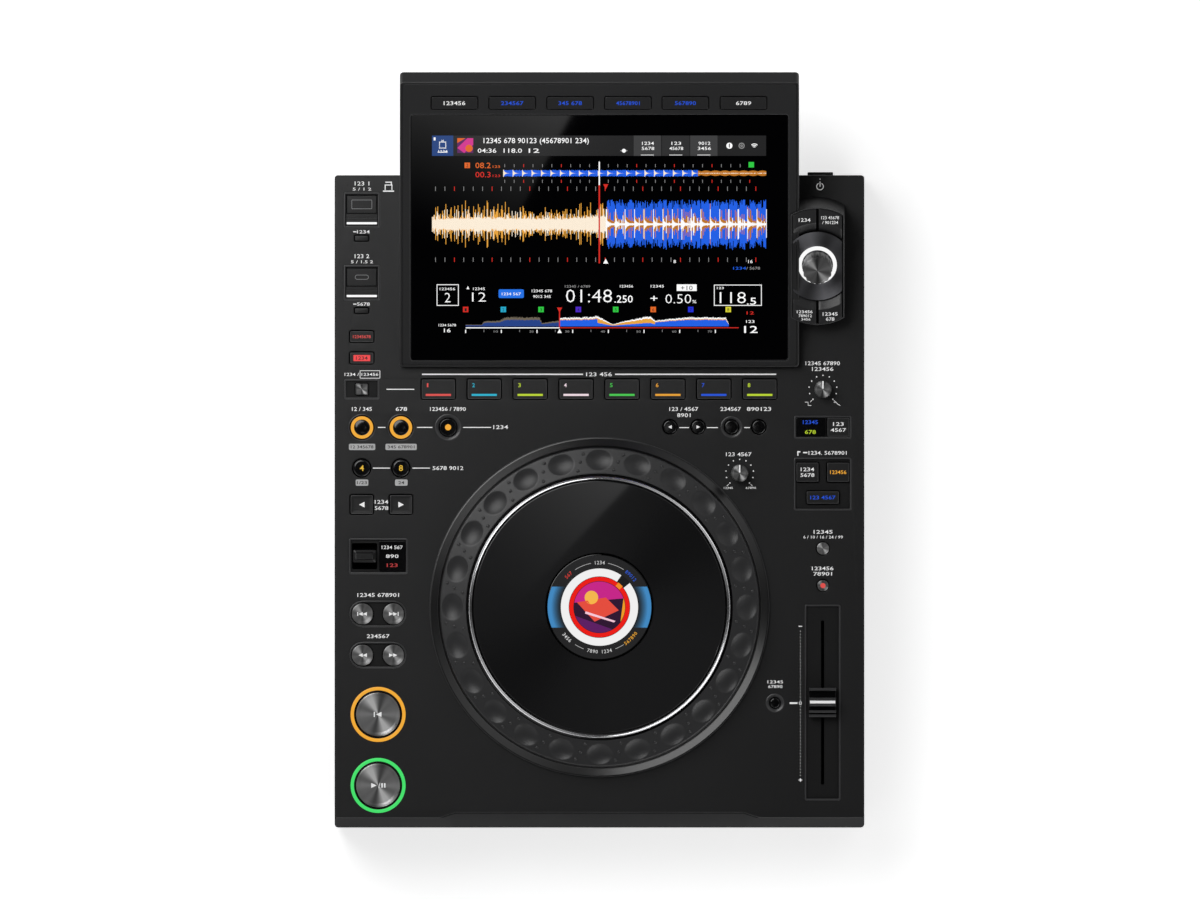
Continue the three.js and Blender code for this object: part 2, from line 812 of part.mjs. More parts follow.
function faderOpenings() {
  const frame = { width: fader.frameWidth, depth: fader.frameLength, corner: fader.frameCorner };
  const slotLength = 2 * fader.travel + fader.stemLength + 2 * keyGap;
  const slot = new THREE.BoxGeometry(fader.slotWidth, slotLength, panelThickness + 2 * overrun);
  return [at(prism(frame, -wellDepth, overrun), faderPlace), at(slot, faderPlace)];
}

const carriageTop = -panelThickness - seatGap;

function faderTrench() {
  const floor = carriageTop - fader.carriageHeight - seatGap;
  const trench = new THREE.BoxGeometry(
    fader.carriageWidth + 2 * keyGap,
    2 * fader.travel + fader.carriageLength + 2 * keyGap,
    overrun - floor,
  );
  return at(trench.translate(0, 0, (overrun + floor) / 2), faderPlace);
}

function buildFader() {
  const capBottom = -wellDepth + seatGap;
  const rearHalf = capProfileShares.map(
    ([y, z]) => new THREE.Vector2(y * fader.capLength, capBottom + z * fader.capHeight),
  );
  const frontHalf = rearHalf.slice(0, -1).reverse().map((point) => new THREE.Vector2(-point.x, point.y));
  const cap = sideProfile([...rearHalf, ...frontHalf], fader.capWidth);
  const stemHeight = capBottom - carriageTop + 2 * fader.stemRoot;
  const stem = new THREE.BoxGeometry(fader.stemWidth, fader.stemLength, stemHeight);
  stem.translate(0, 0, (capBottom + carriageTop) / 2);
  const carriage = new THREE.BoxGeometry(fader.carriageWidth, fader.carriageLength, fader.carriageHeight);
  carriage.translate(0, 0, carriageTop - fader.carriageHeight / 2);
  addPart("tempo_fader", geometryOf(join([cap, stem, carriage])), finishes.key).position.copy(faderPlace);
}

// Direction lever, turning on a cross axle under the deck

const leverPlace = deckPoint(lever);

function leverOpenings() {
  const bezel = { width: lever.bezelWidth, depth: lever.bezelDepth, corner: lever.bezelCorner };
  const slot = { width: lever.slotWidth, depth: lever.slotDepth, corner: lever.slotCorner };
  const bezelPlace = deckPoint({ xShare: lever.bezelXShare, yShare: lever.yShare });
  return [
    at(prism(bezel, -wellDepth, overrun), bezelPlace),
    at(prism(slot, -panelThickness - overrun, overrun), leverPlace),
  ];
}

function leverWindow() {
  const place = deckPoint({ xShare: lever.windowXShare, yShare: lever.yShare });
  const window = { width: lever.windowWidth, depth: lever.windowDepth, corner: lever.windowCorner };
  return at(prism(window, -panelThickness / 2, lever.windowRise), place);
}

function leverPocket() {
  const pocket = new THREE.BoxGeometry(lever.slotWidth, lever.slotDepth, lever.pocketDrop + overrun);
  return at(pocket.translate(0, 0, (overrun - lever.pocketDrop) / 2), leverPlace);
}

function buildLever() {
  const corner = lever.gripCorner;
  const base = { width: lever.baseWidth, depth: lever.baseDepth, corner };
  const root = { width: lever.baseWidth, depth: lever.gripDepth, corner };
  const grip = { width: lever.gripWidth, depth: lever.gripDepth, corner };
  const blade = stack([
    { points: ringOf(root), height: -lever.pivotDrop },
    { points: ringOf(base), height: -panelThickness },
    { points: ringOf(base), height: lever.baseRise },
    { points: ringOf(grip), height: lever.waistRise },
    { points: ringOf(grip, edgeChamfer / 2), height: lever.gripRise - edgeChamfer },
    { points: ringOf(grip, edgeChamfer), height: lever.gripRise },
  ]);
  const axleLength = lever.slotWidth - 2 * seatGap;
  const axle = new THREE.CylinderGeometry(lever.axleRadius, lever.axleRadius, axleLength, fineSides);
  axle.rotateZ(Math.PI / 2).translate(0, 0, -lever.pivotDrop);
  addPart("direction_lever", geometryOf(join([blade, axle])), finishes.key).position.copy(leverPlace);
}

// Small turning knobs

function knobOpenings() {
  const hole = { radius: knob.stemRadius + keyGap };
  return knobShares.map((share) => at(prism(hole, -panelThickness - overrun, overrun), deckPoint(share)));
}

function knobPockets() {
  const hole = { radius: knob.stemRadius + keyGap };
  return knobShares.map((share) => at(prism(hole, -knob.stemDrop - seatGap, overrun), deckPoint(share)));
}

function buildKnobs() {
  const body = { radius: knob.radius };
  const stem = { radius: knob.stemRadius };
  const form = stack([
    { points: ringOf(stem), height: -knob.stemDrop },
    { points: ringOf(stem), height: seatGap },
    { points: ringOf(body), height: seatGap },
    { points: ringOf(body, knob.draft), height: knob.rise - knob.chamfer },
    { points: ringOf(body, knob.draft + knob.chamfer), height: knob.rise },
  ]);
  const mark = new THREE.BoxGeometry(knob.markWidth, knob.radius, 2 * knob.markDepth);
  mark.translate(0, knob.radius / 2 + knob.chamfer, knob.rise);
  const geometry = geometryOf(solidOf(form).subtract(solidOf(mark)));
  knobShares.forEach((share) => {
    addPart(share.name, geometry.clone(), finishes.key).position.copy(deckPoint(share));
  });
}

// Memory stick bays: a flap hinged at the rear covers the mouth, and a slot takes the stick's plug

const stickPlaces = stickBay.yShares.map((yShare) => deckPoint({ xShare: stickBay.xShare, yShare }));
const mouthRear = stickBay.frameDepth / 2 - stickBay.mouthSetback;
const mouthMiddle = mouthRear - stickBay.mouthDepth / 2;

function stickOpenings() {
  const frame = { width: stickBay.frameWidth, depth: stickBay.frameDepth, corner: stickBay.frameCorner };
  const { mouthWidth, mouthDepth } = stickBay;
  return stickPlaces.flatMap((place) => {
    const mouth = new THREE.BoxGeometry(mouthWidth, mouthDepth, panelThickness + 2 * overrun);
    return [at(prism(frame, -frameDepth, overrun), place), at(mouth.translate(0, mouthMiddle, 0), place)];
  });
}

function stickPockets() {
  const roomFloor = -panelThickness - stickBay.swingRoom;
  return stickPlaces.flatMap((place) => {
    const room = new THREE.BoxGeometry(stickBay.mouthWidth, stickBay.mouthDepth, overrun - roomFloor);
    room.translate(0, mouthMiddle, (overrun + roomFloor) / 2);
    const slot = new THREE.BoxGeometry(stickBay.slotWidth, stickBay.slotDepth, 2 * stickBay.slotDrop);
    return [at(room, place), at(slot.translate(0, mouthMiddle, roomFloor), place)];
  });
}

function buildFlaps() {
  const barrel = stickBay.flapThickness / 2;
  const length = stickBay.mouthDepth - 2 * keyGap - barrel;
  const shape = [new THREE.Vector2(-length, -barrel)];
  const steps = 4;
  for (let step = 0; step <= steps; step++) {
    const angle = -Math.PI / 2 + (Math.PI * step) / steps;
    shape.push(new THREE.Vector2(barrel * Math.cos(angle), barrel * Math.sin(angle)));
  }
  shape.push(new THREE.Vector2(-length, barrel));
  stickPlaces.forEach((place, order) => {
    const form = sideProfile(shape, stickBay.mouthWidth - 2 * keyGap);
    const flap = addPart(`stick_flap_${order + 1}`, form, finishes.key);
    const pivotHeight = place.z - frameDepth - stickBay.flapThickness;
    flap.position.set(place.x, place.y + mouthRear - keyGap - barrel, pivotHeight);
  });
}

// Display housing: its sloping face lies in a turned group, whose origin is the face's front edge

const displayRearTop = overallDepth / 2 - display.rearBevelRun;
const displayFrontHeight = deckHeight + display.frontRise;
const displayTilt = Math.atan2(overallHeight - displayFrontHeight, displayRearTop - display.frontY);
const displayFace = new THREE.Group();
displayFace.position.set(0, display.frontY, displayFrontHeight);
displayFace.rotation.x = displayTilt;
displayFace.updateMatrix();
player.add(displayFace);
const faceLength = Math.hypot(displayRearTop - display.frontY, overallHeight - displayFrontHeight);
const keyRow = faceLength - display.keyRowSetback;

const displayKeys = displayKeyShares.map((xShare, order) => ({
  name: `${displayKeyNames[order]}_key`,
  x: xShare * bodyWidth,
  outline: { width: display.keyWidth, depth: display.keyDepth, corner: display.keyCorner },
}));

const glassHalfWidth = display.halfWidth - display.glassSideSetback;
const glassLength = faceLength - display.glassFrontSetback - display.glassRearSetback;
const glassMiddle = display.glassFrontSetback + glassLength / 2;

function glassOutline(grow) {
  return {
    width: 2 * (glassHalfWidth + grow),
    depth: glassLength + 2 * grow,
    corner: display.glassCorner + grow,
    steps: 2,
  };
}

// Browse selector, on a pod whose top lies in the display's face

const selectorX = display.halfWidth + selector.standoff;
const selectorSetback = selector.setbackShare * faceLength;
const selectorY = display.frontY + selectorSetback * Math.cos(displayTilt);
const selectorMatrix = displayFace.matrix.clone().multiply(
  new THREE.Matrix4().makeTranslation(selectorX, selectorSetback, 0),
);
const selectorGroup = new THREE.Group();
selectorGroup.position.set(selectorX, selectorSetback, 0);
displayFace.add(selectorGroup);

// The pod's outline has arcs for its ends; its rear wall slopes out towards the deck.
function podRing(rearSlope) {
  const { podHalfWidth, podHalfLength, podEndRadius } = selector;
  const steps = 8;
  const halfAngle = Math.asin(podHalfWidth / podEndRadius);
  const points = [];
  [1, -1].forEach((end) => {
    for (let step = 0; step <= steps; step++) {
      const angle = end * (halfAngle - (2 * halfAngle * step) / steps);
      const y = end * (podHalfLength - podEndRadius * (1 - Math.cos(angle))) + (end > 0 ? rearSlope : 0);
      points.push(new THREE.Vector2(selectorX + podEndRadius * Math.sin(angle), selectorY + y));
    }
  });
  return points;
}

function podSolid() {
  const column = stack([
    { points: podRing(selector.podRearSlope), height: deckHeight + seatGap },
    { points: podRing(0), height: overallHeight },
  ]);
  const reach = overallDepth;
  const below = new THREE.BoxGeometry(reach, reach, reach).translate(0, 0, selector.podRise - reach / 2);
  return solidOf(column).intersect(solidOf(below.applyMatrix4(displayFace.matrix)));
}

// One quarter of the key field: an arc round the dish inside, a wider arc at the end of the field.
function selectorKeyShape(signX, signY, grow) {
  const innerX = selector.keyBetween / 2 - grow;
  const outerX = selector.keyHalfWidth + grow;
  const innerRadius = selector.keyArcRadius - grow;
  const outerRadius = selector.keyEndRadius + grow;
  const outerCentre = selector.keyHalfLength - selector.keyEndRadius;
  const steps = 4;
  const points = [];
  for (let step = 0; step <= steps; step++) {
    const x = innerX + ((outerX - innerX) * step) / steps;
    points.push(new THREE.Vector2(x, Math.sqrt(innerRadius ** 2 - x ** 2)));
  }
  for (let step = steps; step >= 0; step--) {
    const x = innerX + ((outerX - innerX) * step) / steps;
    points.push(new THREE.Vector2(x, outerCentre + Math.sqrt(outerRadius ** 2 - x ** 2)));
  }
  return points.map((point) => new THREE.Vector2(point.x * signX, point.y * signY));
}

const selectorKeys = [
  { name: "back_key", signX: -1, signY: 1 },
  { name: "tag_key", signX: 1, signY: 1 },
  { name: "filter_key", signX: -1, signY: -1 },
  { name: "shortcut_key", signX: 1, signY: -1 },
];

function selectorCuts() {
  const { podRise, dishDepth, dishFloorRadius, dishRadius, keyHalfWidth } = selector;
  const keyRooms = selectorKeys.map(({ signX, signY }) =>
    extruded(selectorKeyShape(signX, signY, keyGap), -display.keyPocket, overrun),
  );
  const cone = turned(
    [
      [0, -dishDepth],
      [dishFloorRadius, -dishDepth],
      [dishRadius, podRise],
      [dishRadius, overrun],
      [0, overrun],
    ],
    smoothSides,
  );
  const field = new THREE.BoxGeometry(2 * keyHalfWidth + 2 * keyGap, 2 * dishRadius, 4 * overrun);
  const dish = geometryOf(solidOf(cone).intersect(solidOf(field)));
  const shaftFloor = -selector.shaftDrop - selector.press - seatGap;
  const shaftRoom = prism({ radius: selector.shaftRadius + keyGap }, shaftFloor, overrun);
  return [...keyRooms, dish, shaftRoom].map((cutter) => cutter.applyMatrix4(selectorMatrix));
}

function selectorRing() {
  const { ringOuterRadius, ringInnerRadius, ringRise, dishDepth } = selector;
  const floor = -dishDepth - seatGap;
  const top = ringRise - dishDepth;
  const profile = [
    [ringInnerRadius, floor],
    [ringOuterRadius, floor],
    [ringOuterRadius, top],
    [ringInnerRadius, top],
    [ringInnerRadius, floor],
  ];
  return turned(profile, smoothSides).applyMatrix4(selectorMatrix);
}

function buildSelector() {
  selectorKeys.forEach(({ name, signX, signY }) => {
    const key = extruded(selectorKeyShape(signX, signY, 0), -display.keyReach, selector.keyRise);
    addPart(name, key, finishes.key, selectorGroup);
  });
  const shaft = prism({ radius: selector.shaftRadius }, -selector.shaftDrop, selector.shaftRise);
  addPart("selector_shaft", shaft, finishes.metal, selectorGroup);
  const fluted = [];
  const steps = 4 * selector.fluteCount;
  for (let step = 0; step < steps; step++) {
    const angle = (2 * Math.PI * step) / steps;
    const wave = (1 - Math.cos(selector.fluteCount * angle)) / 2;
    const radius = selector.knobRadius - selector.fluteDepth * wave;
    fluted.push(new THREE.Vector2(radius * Math.cos(angle), radius * Math.sin(angle)));
  }
  const topShare = 1 - selector.knobChamfer / selector.knobRadius;
  const drawnIn = fluted.map((point) => point.clone().multiplyScalar(topShare));
  const bottom = -selector.dishDepth + selector.press + seatGap;
  const body = stack([
    { points: fluted, height: bottom },
    { points: fluted, height: selector.knobRise - selector.knobChamfer },
    { points: drawnIn, height: selector.knobRise },
  ]);
  const socket = { radius: selector.shaftRadius + seatGap };
  const bore = prism(socket, bottom - overrun, selector.shaftRise + seatGap);
  const cap = geometryOf(solidOf(body).subtract(solidOf(bore)));
  addPart("selector_knob", cap, finishes.metal, selectorGroup);
}

function buildDisplay() {
  const rearTop = overallHeight - display.rearBevelDrop;
  const underside = deckHeight + seatGap;
  const profile = [
    new THREE.Vector2(display.frontY, underside),
    new THREE.Vector2(rearEdge - display.neckInset, underside),
    new THREE.Vector2(overallDepth / 2 - display.rearWallLean, rearTop - display.rearWallHeight),
    new THREE.Vector2(overallDepth / 2, rearTop),
    new THREE.Vector2(displayRearTop, overallHeight),
    new THREE.Vector2(display.frontY, displayFrontHeight),
  ];
  const wedge = solidOf(sideProfile(profile, 2 * display.halfWidth, display.edgeRound));
  const housing = wedge.add(podSolid());
  const recess = prism(glassOutline(seatGap), -display.glassThickness - seatGap, overrun);
  recess.translate(0, glassMiddle, 0);
  const pockets = displayKeys.map(({ x, outline }) =>
    prism(outline, -display.keyPocket, overrun, -keyGap).translate(x, keyRow, 0),
  );
  const faceCuts = [recess, ...pockets].map((cutter) => cutter.applyMatrix4(displayFace.matrix));
  const shell = cut(housing, [...faceCuts, ...selectorCuts()]).add(solidOf(selectorRing()));
  addPart("display_housing", geometryOf(shell), finishes.shell);
  const glass = prism(glassOutline(0), -display.glassThickness, 0).translate(0, glassMiddle, 0);
  addPart("display_glass", glass, finishes.glass, displayFace);
  displayKeys.forEach(({ name, x, outline }) => {
    const key = stack([
      { points: ringOf(outline), height: -display.keyReach },
      { points: ringOf(outline), height: display.keyRise - edgeChamfer / 2 },
      { points: ringOf(outline, edgeChamfer / 2), height: display.keyRise },
    ]);
    addPart(name, key, finishes.key, displayFace).position.set(x, keyRow, 0);
  });
}

buildLowerCase();
buildTopPanel();
buildDisplay();
buildSpindle();
buildJogWheel();
buildFader();
buildLever();
buildKnobs();
buildSelector();
buildFlaps();
addDeckKeys();
addPowerButton();

export default player;
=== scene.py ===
import json
import math

import bmesh
import bpy
import numpy as np
from mathutils import Matrix, Vector

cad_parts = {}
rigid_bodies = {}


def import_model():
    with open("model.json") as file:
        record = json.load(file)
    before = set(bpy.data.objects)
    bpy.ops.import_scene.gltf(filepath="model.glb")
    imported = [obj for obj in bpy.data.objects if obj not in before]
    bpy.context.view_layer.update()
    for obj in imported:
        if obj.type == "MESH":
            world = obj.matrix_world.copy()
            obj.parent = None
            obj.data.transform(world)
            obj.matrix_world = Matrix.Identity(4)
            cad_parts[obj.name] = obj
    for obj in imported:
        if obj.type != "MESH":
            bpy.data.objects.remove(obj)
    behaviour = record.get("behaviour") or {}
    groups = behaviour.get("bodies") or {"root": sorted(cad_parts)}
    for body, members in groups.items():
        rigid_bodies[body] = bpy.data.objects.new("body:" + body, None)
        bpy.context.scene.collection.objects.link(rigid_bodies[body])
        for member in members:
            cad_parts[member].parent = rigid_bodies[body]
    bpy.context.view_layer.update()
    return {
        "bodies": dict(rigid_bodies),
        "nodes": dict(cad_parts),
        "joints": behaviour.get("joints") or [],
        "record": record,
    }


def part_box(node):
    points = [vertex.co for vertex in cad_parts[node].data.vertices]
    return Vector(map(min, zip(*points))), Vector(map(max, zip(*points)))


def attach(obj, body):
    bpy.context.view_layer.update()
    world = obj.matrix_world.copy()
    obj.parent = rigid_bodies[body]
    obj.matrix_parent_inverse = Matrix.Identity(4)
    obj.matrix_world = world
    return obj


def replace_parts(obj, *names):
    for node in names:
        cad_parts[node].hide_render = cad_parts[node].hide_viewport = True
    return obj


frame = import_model()
nodes = frame["nodes"]
mm = 0.001


def inMm(**sizes):
    # a piece's settings, given in millimetres
    return {name: tuple(v * mm for v in size) if isinstance(size, tuple) else size * mm for name, size in sizes.items()}



# Places in the photo: one pixel in metres, and the pixel over the object's origin
photo = {"pixel": 0.6211 * mm, "middleX": 599.45, "middleY": 449.85, "width": 1200, "height": 900}


def fromPhoto(px, py):
    x = (px - photo["middleX"]) * photo["pixel"]
    y = (photo["middleY"] - py) * photo["pixel"]
    return x, y


# Camera

view = {"height": 2.0, "lensScale": photo["width"] * photo["pixel"]}
cameraData = bpy.data.cameras.new("camera")
cameraData.type = "ORTHO"
cameraData.ortho_scale = view["lensScale"]
camera = bpy.data.objects.new("camera", cameraData)
bpy.context.collection.objects.link(camera)
cameraX, cameraY = fromPhoto(photo["width"] / 2, photo["height"] / 2)
camera.location = (cameraX, cameraY, view["height"])
bpy.context.scene.camera = camera
print("camera set")


# Colours and material pieces


def shade(code):
    # sRGB hex to the linear colour that a shader takes
    parts = np.array([int(code[i : i + 2], 16) for i in (1, 3, 5)]) / 255
    linear = np.where(parts <= 0.04045, parts / 12.92, ((parts + 0.055) / 1.055) ** 2.4)
    return (*linear.tolist(), 1.0)


def setInputs(tree, node, values):
    # another node's output is linked, a plain value is set
    for label, value in values.items():
        if hasattr(value, "is_output"):
            tree.links.new(value, node.inputs[label])
        elif value is not None:
            node.inputs[label].default_value = value
    return node


def addNode(tree, kind, values):
    return setInputs(tree, tree.nodes.new("ShaderNode" + kind), values)


def mathNode(tree, kind, first, second=None, third=None):
    node = tree.nodes.new("ShaderNodeMath")
    node.operation = kind
    return setInputs(tree, node, {0: first, 1: second, 2: third}).outputs[0]


def mixColor(tree, factor, low, high):
    node = tree.nodes.new("ShaderNodeMix")
    node.data_type = "RGBA"
    return setInputs(tree, node, {0: factor, 6: low, 7: high}).outputs[2]


def newGroup(name, inputs, outputs):
    # None stands for a vector, four numbers for a colour, one for a plain value
    group = bpy.data.node_groups.new(name, "ShaderNodeTree")
    for label, value in inputs.items():
        kind = "Vector" if value is None else "Color" if isinstance(value, tuple) else "Float"
        socket = group.interface.new_socket(name=label, in_out="INPUT", socket_type="NodeSocket" + kind)
        if value is not None:
            socket.default_value = value
    for label, kind in outputs.items():
        group.interface.new_socket(name=label, in_out="OUTPUT", socket_type="NodeSocket" + kind)
    return group, group.nodes.new("NodeGroupInput"), group.nodes.new("NodeGroupOutput")


# Moulded grain: fine pits and a slow change of gloss and tone
grainGroup, start, end = newGroup(
    "mouldedGrain",
    {"Vector": None, "Tone": (0.02, 0.02, 0.02, 1), "ToneSpread": 0.15, "Scale": 2500.0, "Roughness": 0.45,
     "GlossSpread": 0.08},
    {"Color": "Color", "Roughness": "Float", "Height": "Float"},
)
given = start.outputs
fine = addNode(grainGroup, "TexNoise", {"Vector": given["Vector"], "Scale": given["Scale"], "Detail": 2})
slow = addNode(grainGroup, "TexNoise", {"Vector": given["Vector"], "Scale": 14, "Detail": 4})
swing = mathNode(grainGroup, "SUBTRACT", slow.outputs["Fac"], 0.5)
tone = mathNode(grainGroup, "MULTIPLY_ADD", swing, given["ToneSpread"], 1.0)
scaled = grainGroup.nodes.new("ShaderNodeVectorMath")
scaled.operation = "SCALE"
setInputs(grainGroup, scaled, {0: given["Tone"], "Scale": tone})
gloss = mathNode(grainGroup, "MULTIPLY_ADD", swing, given["GlossSpread"], given["Roughness"])
setInputs(grainGroup, end, {"Color": scaled.outputs["Vector"], "Roughness": gloss, "Height": fine.outputs["Fac"]})

# Spun metal: painted glints, wedge-shaped like the reflections on a turned face and mixed into the colour, with fine
# bumped rings, round a centre at the vector's origin
paintedGlintGroup, start, end = newGroup(
    "spunFacePaintedGlints",
    {"Vector": None, "Bright": (0.5, 0.5, 0.5, 1), "Dark": (0.03, 0.03, 0.03, 1), "Turn": -0.9, "Sharpness": 3.0,
     "RingPitch": 0.0006},
    {"Color": "Color", "Height": "Float"},
)
given = start.outputs
flat = addNode(paintedGlintGroup, "SeparateXYZ", {0: given["Vector"]}).outputs


def spun(kind, *values):
    return mathNode(paintedGlintGroup, kind, *values)


def wedge(angle, power, share):
    # painted glints at the angle and opposite it
    return spun("MULTIPLY", spun("POWER", spun("ABSOLUTE", spun("COSINE", angle)), power), share)


turned = spun("SUBTRACT", spun("ARCTAN2", flat["Y"], flat["X"]), given["Turn"])
glint = spun("POWER", spun("ABSOLUTE", spun("COSINE", turned)), spun("MULTIPLY", given["Sharpness"], 6.0))
soft = wedge(spun("SUBTRACT", turned, 1.3), given["Sharpness"], 0.28)
ripple = wedge(spun("MULTIPLY", turned, 3.0), 4.0, 0.12)
lit = spun("MINIMUM", spun("ADD", spun("ADD", glint, soft), ripple), 1.0)
radius = spun("SQRT", spun("ADD", spun("POWER", flat["X"], 2.0), spun("POWER", flat["Y"], 2.0)))
phase = spun("MULTIPLY", spun("DIVIDE", radius, given["RingPitch"]), 2 * math.pi)
setInputs(paintedGlintGroup, end, {"Color": mixColor(paintedGlintGroup, lit, given["Dark"], given["Bright"]),
                           "Height": spun("SINE", phase)})


def newMaterial(name):
    material = bpy.data.materials.new(name)
    material.use_nodes = True
    tree = material.node_tree
    return material, tree, tree.nodes["Principled BSDF"], tree.nodes.new("ShaderNodeTexCoord").outputs["Object"]


def groupNode(tree, nodeGroup, values):
    node = tree.nodes.new("ShaderNodeGroup")
    node.node_tree = nodeGroup
    return setInputs(tree, node, values).outputs


def bumped(tree, height, strength, distance):
    return addNode(tree, "Bump", {"Strength": strength, "Distance": distance, "Height": height}).outputs["Normal"]


def mouldedMaterial(name, code, roughness=0.45, grain=2500.0, depth=0.03, spread=0.08, coat=0.0, specular=0.5):
    material, tree, shader, place = newMaterial(name)
    tones = {"Tone": shade(code), "Scale": grain, "Roughness": roughness, "GlossSpread": spread, "Vector": place}
    group = groupNode(tree, grainGroup, tones)
    setInputs(tree, shader, {
        "Base Color": group["Color"], "Roughness": group["Roughness"], "Coat Weight": coat, "Coat Roughness": 0.06,
        "Specular IOR Level": specular, "Normal": bumped(tree, group["Height"], 0.5, depth * mm),
    })
    return material


# a material whose colour holds the painted glints of a spun face
def spunMaterial(name, centre, bright, dark, turn=-0.9, sharpness=3.0, roughness=0.3, metallic=0.4, pitch=0.6 * mm):
    material, tree, shader, place = newMaterial(name)
    moved = addNode(tree, "Mapping", {"Location": [-c for c in centre], "Vector": place}).outputs["Vector"]
    tones = {"Bright": shade(bright), "Dark": shade(dark), "Turn": turn, "Sharpness": sharpness, "RingPitch": pitch}
    group = groupNode(tree, paintedGlintGroup, {**tones, "Vector": moved})
    setInputs(tree, shader, {
        "Base Color": group["Color"], "Metallic": metallic, "Specular IOR Level": 0.2, "Roughness": roughness,
        "Normal": bumped(tree, group["Height"], 0.25, 0.02 * mm),
    })
    return material


def mottle(tree, place, code, scale, share):
    # one colour and a slightly darker share of it, in faint patches
    patches = addNode(tree, "TexNoise", {"Scale": scale, "Vector": place}).outputs["Fac"]
    return mixColor(tree, patches, [c * share for c in shade(code)[:3]] + [1], shade(code))


def glowMaterial(name, code):
    material, tree, shader, place = newMaterial(name)
    color = mottle(tree, place, code, 300, 0.92)
    base = {"Base Color": shade("#101010"), "Roughness": 0.3}
    setInputs(tree, shader, {"Emission Color": color, "Emission Strength": 1.0, **base})
    return material


def inkMaterial(name, code, glow=0.0):
    # printed ink: a nearly flat colour, which may glow a little, a painted brightness that keeps thin print legible
    material, tree, shader, place = newMaterial(name)
    color = mottle(tree, place, code, 900, 0.9)
    setInputs(tree, shader, {"Base Color": color, "Emission Color": color, "Emission Strength": glow, "Roughness": 0.5})
    return material


def tintMaterial(name):
    # lit screen dots: the colour comes from the piece's own tint attribute
    material, tree, shader, _ = newMaterial(name)
    tint = tree.nodes.new("ShaderNodeAttribute")
    tint.attribute_name = "tint"
    base = {"Base Color": (0.01, 0.01, 0.01, 1), "Roughness": 0.12}
    setInputs(tree, shader, {"Emission Color": tint.outputs["Color"], "Emission Strength": 1.0, **base})
    return material


materials = {
    "panel": mouldedMaterial("deckPaint", "#121213", 0.42, 2600, 0.02, 0.06),
    # near black, darker than the deck: painted shade in the gaps round the keys, on the wells' floors and on the
    # selector pod's body
    "paintedShadeWell": mouldedMaterial("wellPaintedShade", "#080809", 0.55, 2600, 0.02, specular=0.3),
    "case": mouldedMaterial("caseMoulding", "#1f1f20", 0.62, 1800, 0.05, 0.1, specular=0.015),
    "housing": mouldedMaterial("displayMoulding", "#1e1e1f", 0.42, 2600, 0.02, 0.06),
    "displayKey": mouldedMaterial("displayKeyMoulding", "#1c1c1d", 0.4, 2600, 0.02, 0.06),
    "glass": mouldedMaterial("coverGlass", "#000001", 0.03, 40, 0.0, 0.01),
    "gloss": mouldedMaterial("glossBlack", "#060607", 0.16, 900, 0.0, 0.03, 0.2),
    "key": mouldedMaterial("keyMoulding", "#0c0c0d", 0.44, 2200, 0.02),
    "podKey": mouldedMaterial("podKeyMoulding", "#242425", 0.36, 2200, 0.02),
    "flap": mouldedMaterial("flapMoulding", "#131314", 0.36, 2200, 0.02),
    "pad": mouldedMaterial("padRubber", "#131314", 0.5, 2200, 0.03),
    "grip": mouldedMaterial("gripMoulding", "#2a2a2b", 0.42, 1800, 0.03, 0.08),
    "rim": mouldedMaterial("rimGloss", "#040405", 0.3, 900, 0.0, 0.03, 0.0, 0.8),
    # light grey for frames and thin edge lines: a painted highlight along edges
    "trim": mouldedMaterial("frameMouldingPaintedHighlight", "#3c3c3d", 0.3, 2200, 0.01, 0.06),
    "rubber": mouldedMaterial("footRubber", "#121212", 0.8, 1500, 0.08),
    "faderMetal": mouldedMaterial("faderMoulding", "#3a3a3b", 0.34, 1800, 0.02, 0.06, 0.2),
    # the white print glows a little: painted brightness
    "white": inkMaterial("whitePrintWithGlow", "#ececec", glow=0.3),
    "tagWhite": inkMaterial("tagPrint", "#c4c4c4"),
    "grey": inkMaterial("greyPrint", "#8c8c8e"),
    "darkPrint": inkMaterial("darkPrint", "#161616"),
    "redPrint": inkMaterial("redPrint", "#e23a2c"),
    "orangePrint": inkMaterial("orangePrint", "#e08a2c"),
    "screen": tintMaterial("screenDots"),
}
glows = {
    "sideRed": "#b8393a", "slipRed": "#f2474a", "ledWhite": "#ffffff", "ledAmber": "#f4ac34", "ledOrange": "#e8a030",
    "ledGreen": "#43e36c", "ledLime": "#bcd62f", "ledCyan": "#26b2ce", "ledPink": "#f0dce4", "ledRed": "#e0504c",
    "ledBlue": "#1f52d8", "ledYellow": "#e6b93a", "padGreen": "#46c84e",
}
materials.update({name: glowMaterial(name, code) for name, code in glows.items()})

# Silver trim: plain metal, slightly duller in soft patches
chrome, tree, shader, place = newMaterial("silverTrim")
patches = addNode(tree, "TexNoise", {"Scale": 60, "Vector": place}).outputs["Fac"]
dull = mathNode(tree, "MULTIPLY_ADD", patches, 0.08, 0.12)
setInputs(tree, shader, {"Base Color": shade("#d8d8da"), "Metallic": 1.0, "Roughness": dull})
materials["silver"] = chrome
print("materials made")


# Mesh makers


def addPiece(name, mesh, material, body, even=False):
    mesh.materials.clear()
    mesh.materials.append(materials[material] if isinstance(material, str) else material)
    piece = bpy.data.objects.new(name, mesh)
    bpy.context.collection.objects.link(piece)
    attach(piece, body)
    if even:  # flat faces keep their own shading beside the rounded edges
        modifier = piece.modifiers.new("evenShading", "WEIGHTED_NORMAL")
        modifier.keep_sharp = True
    return piece


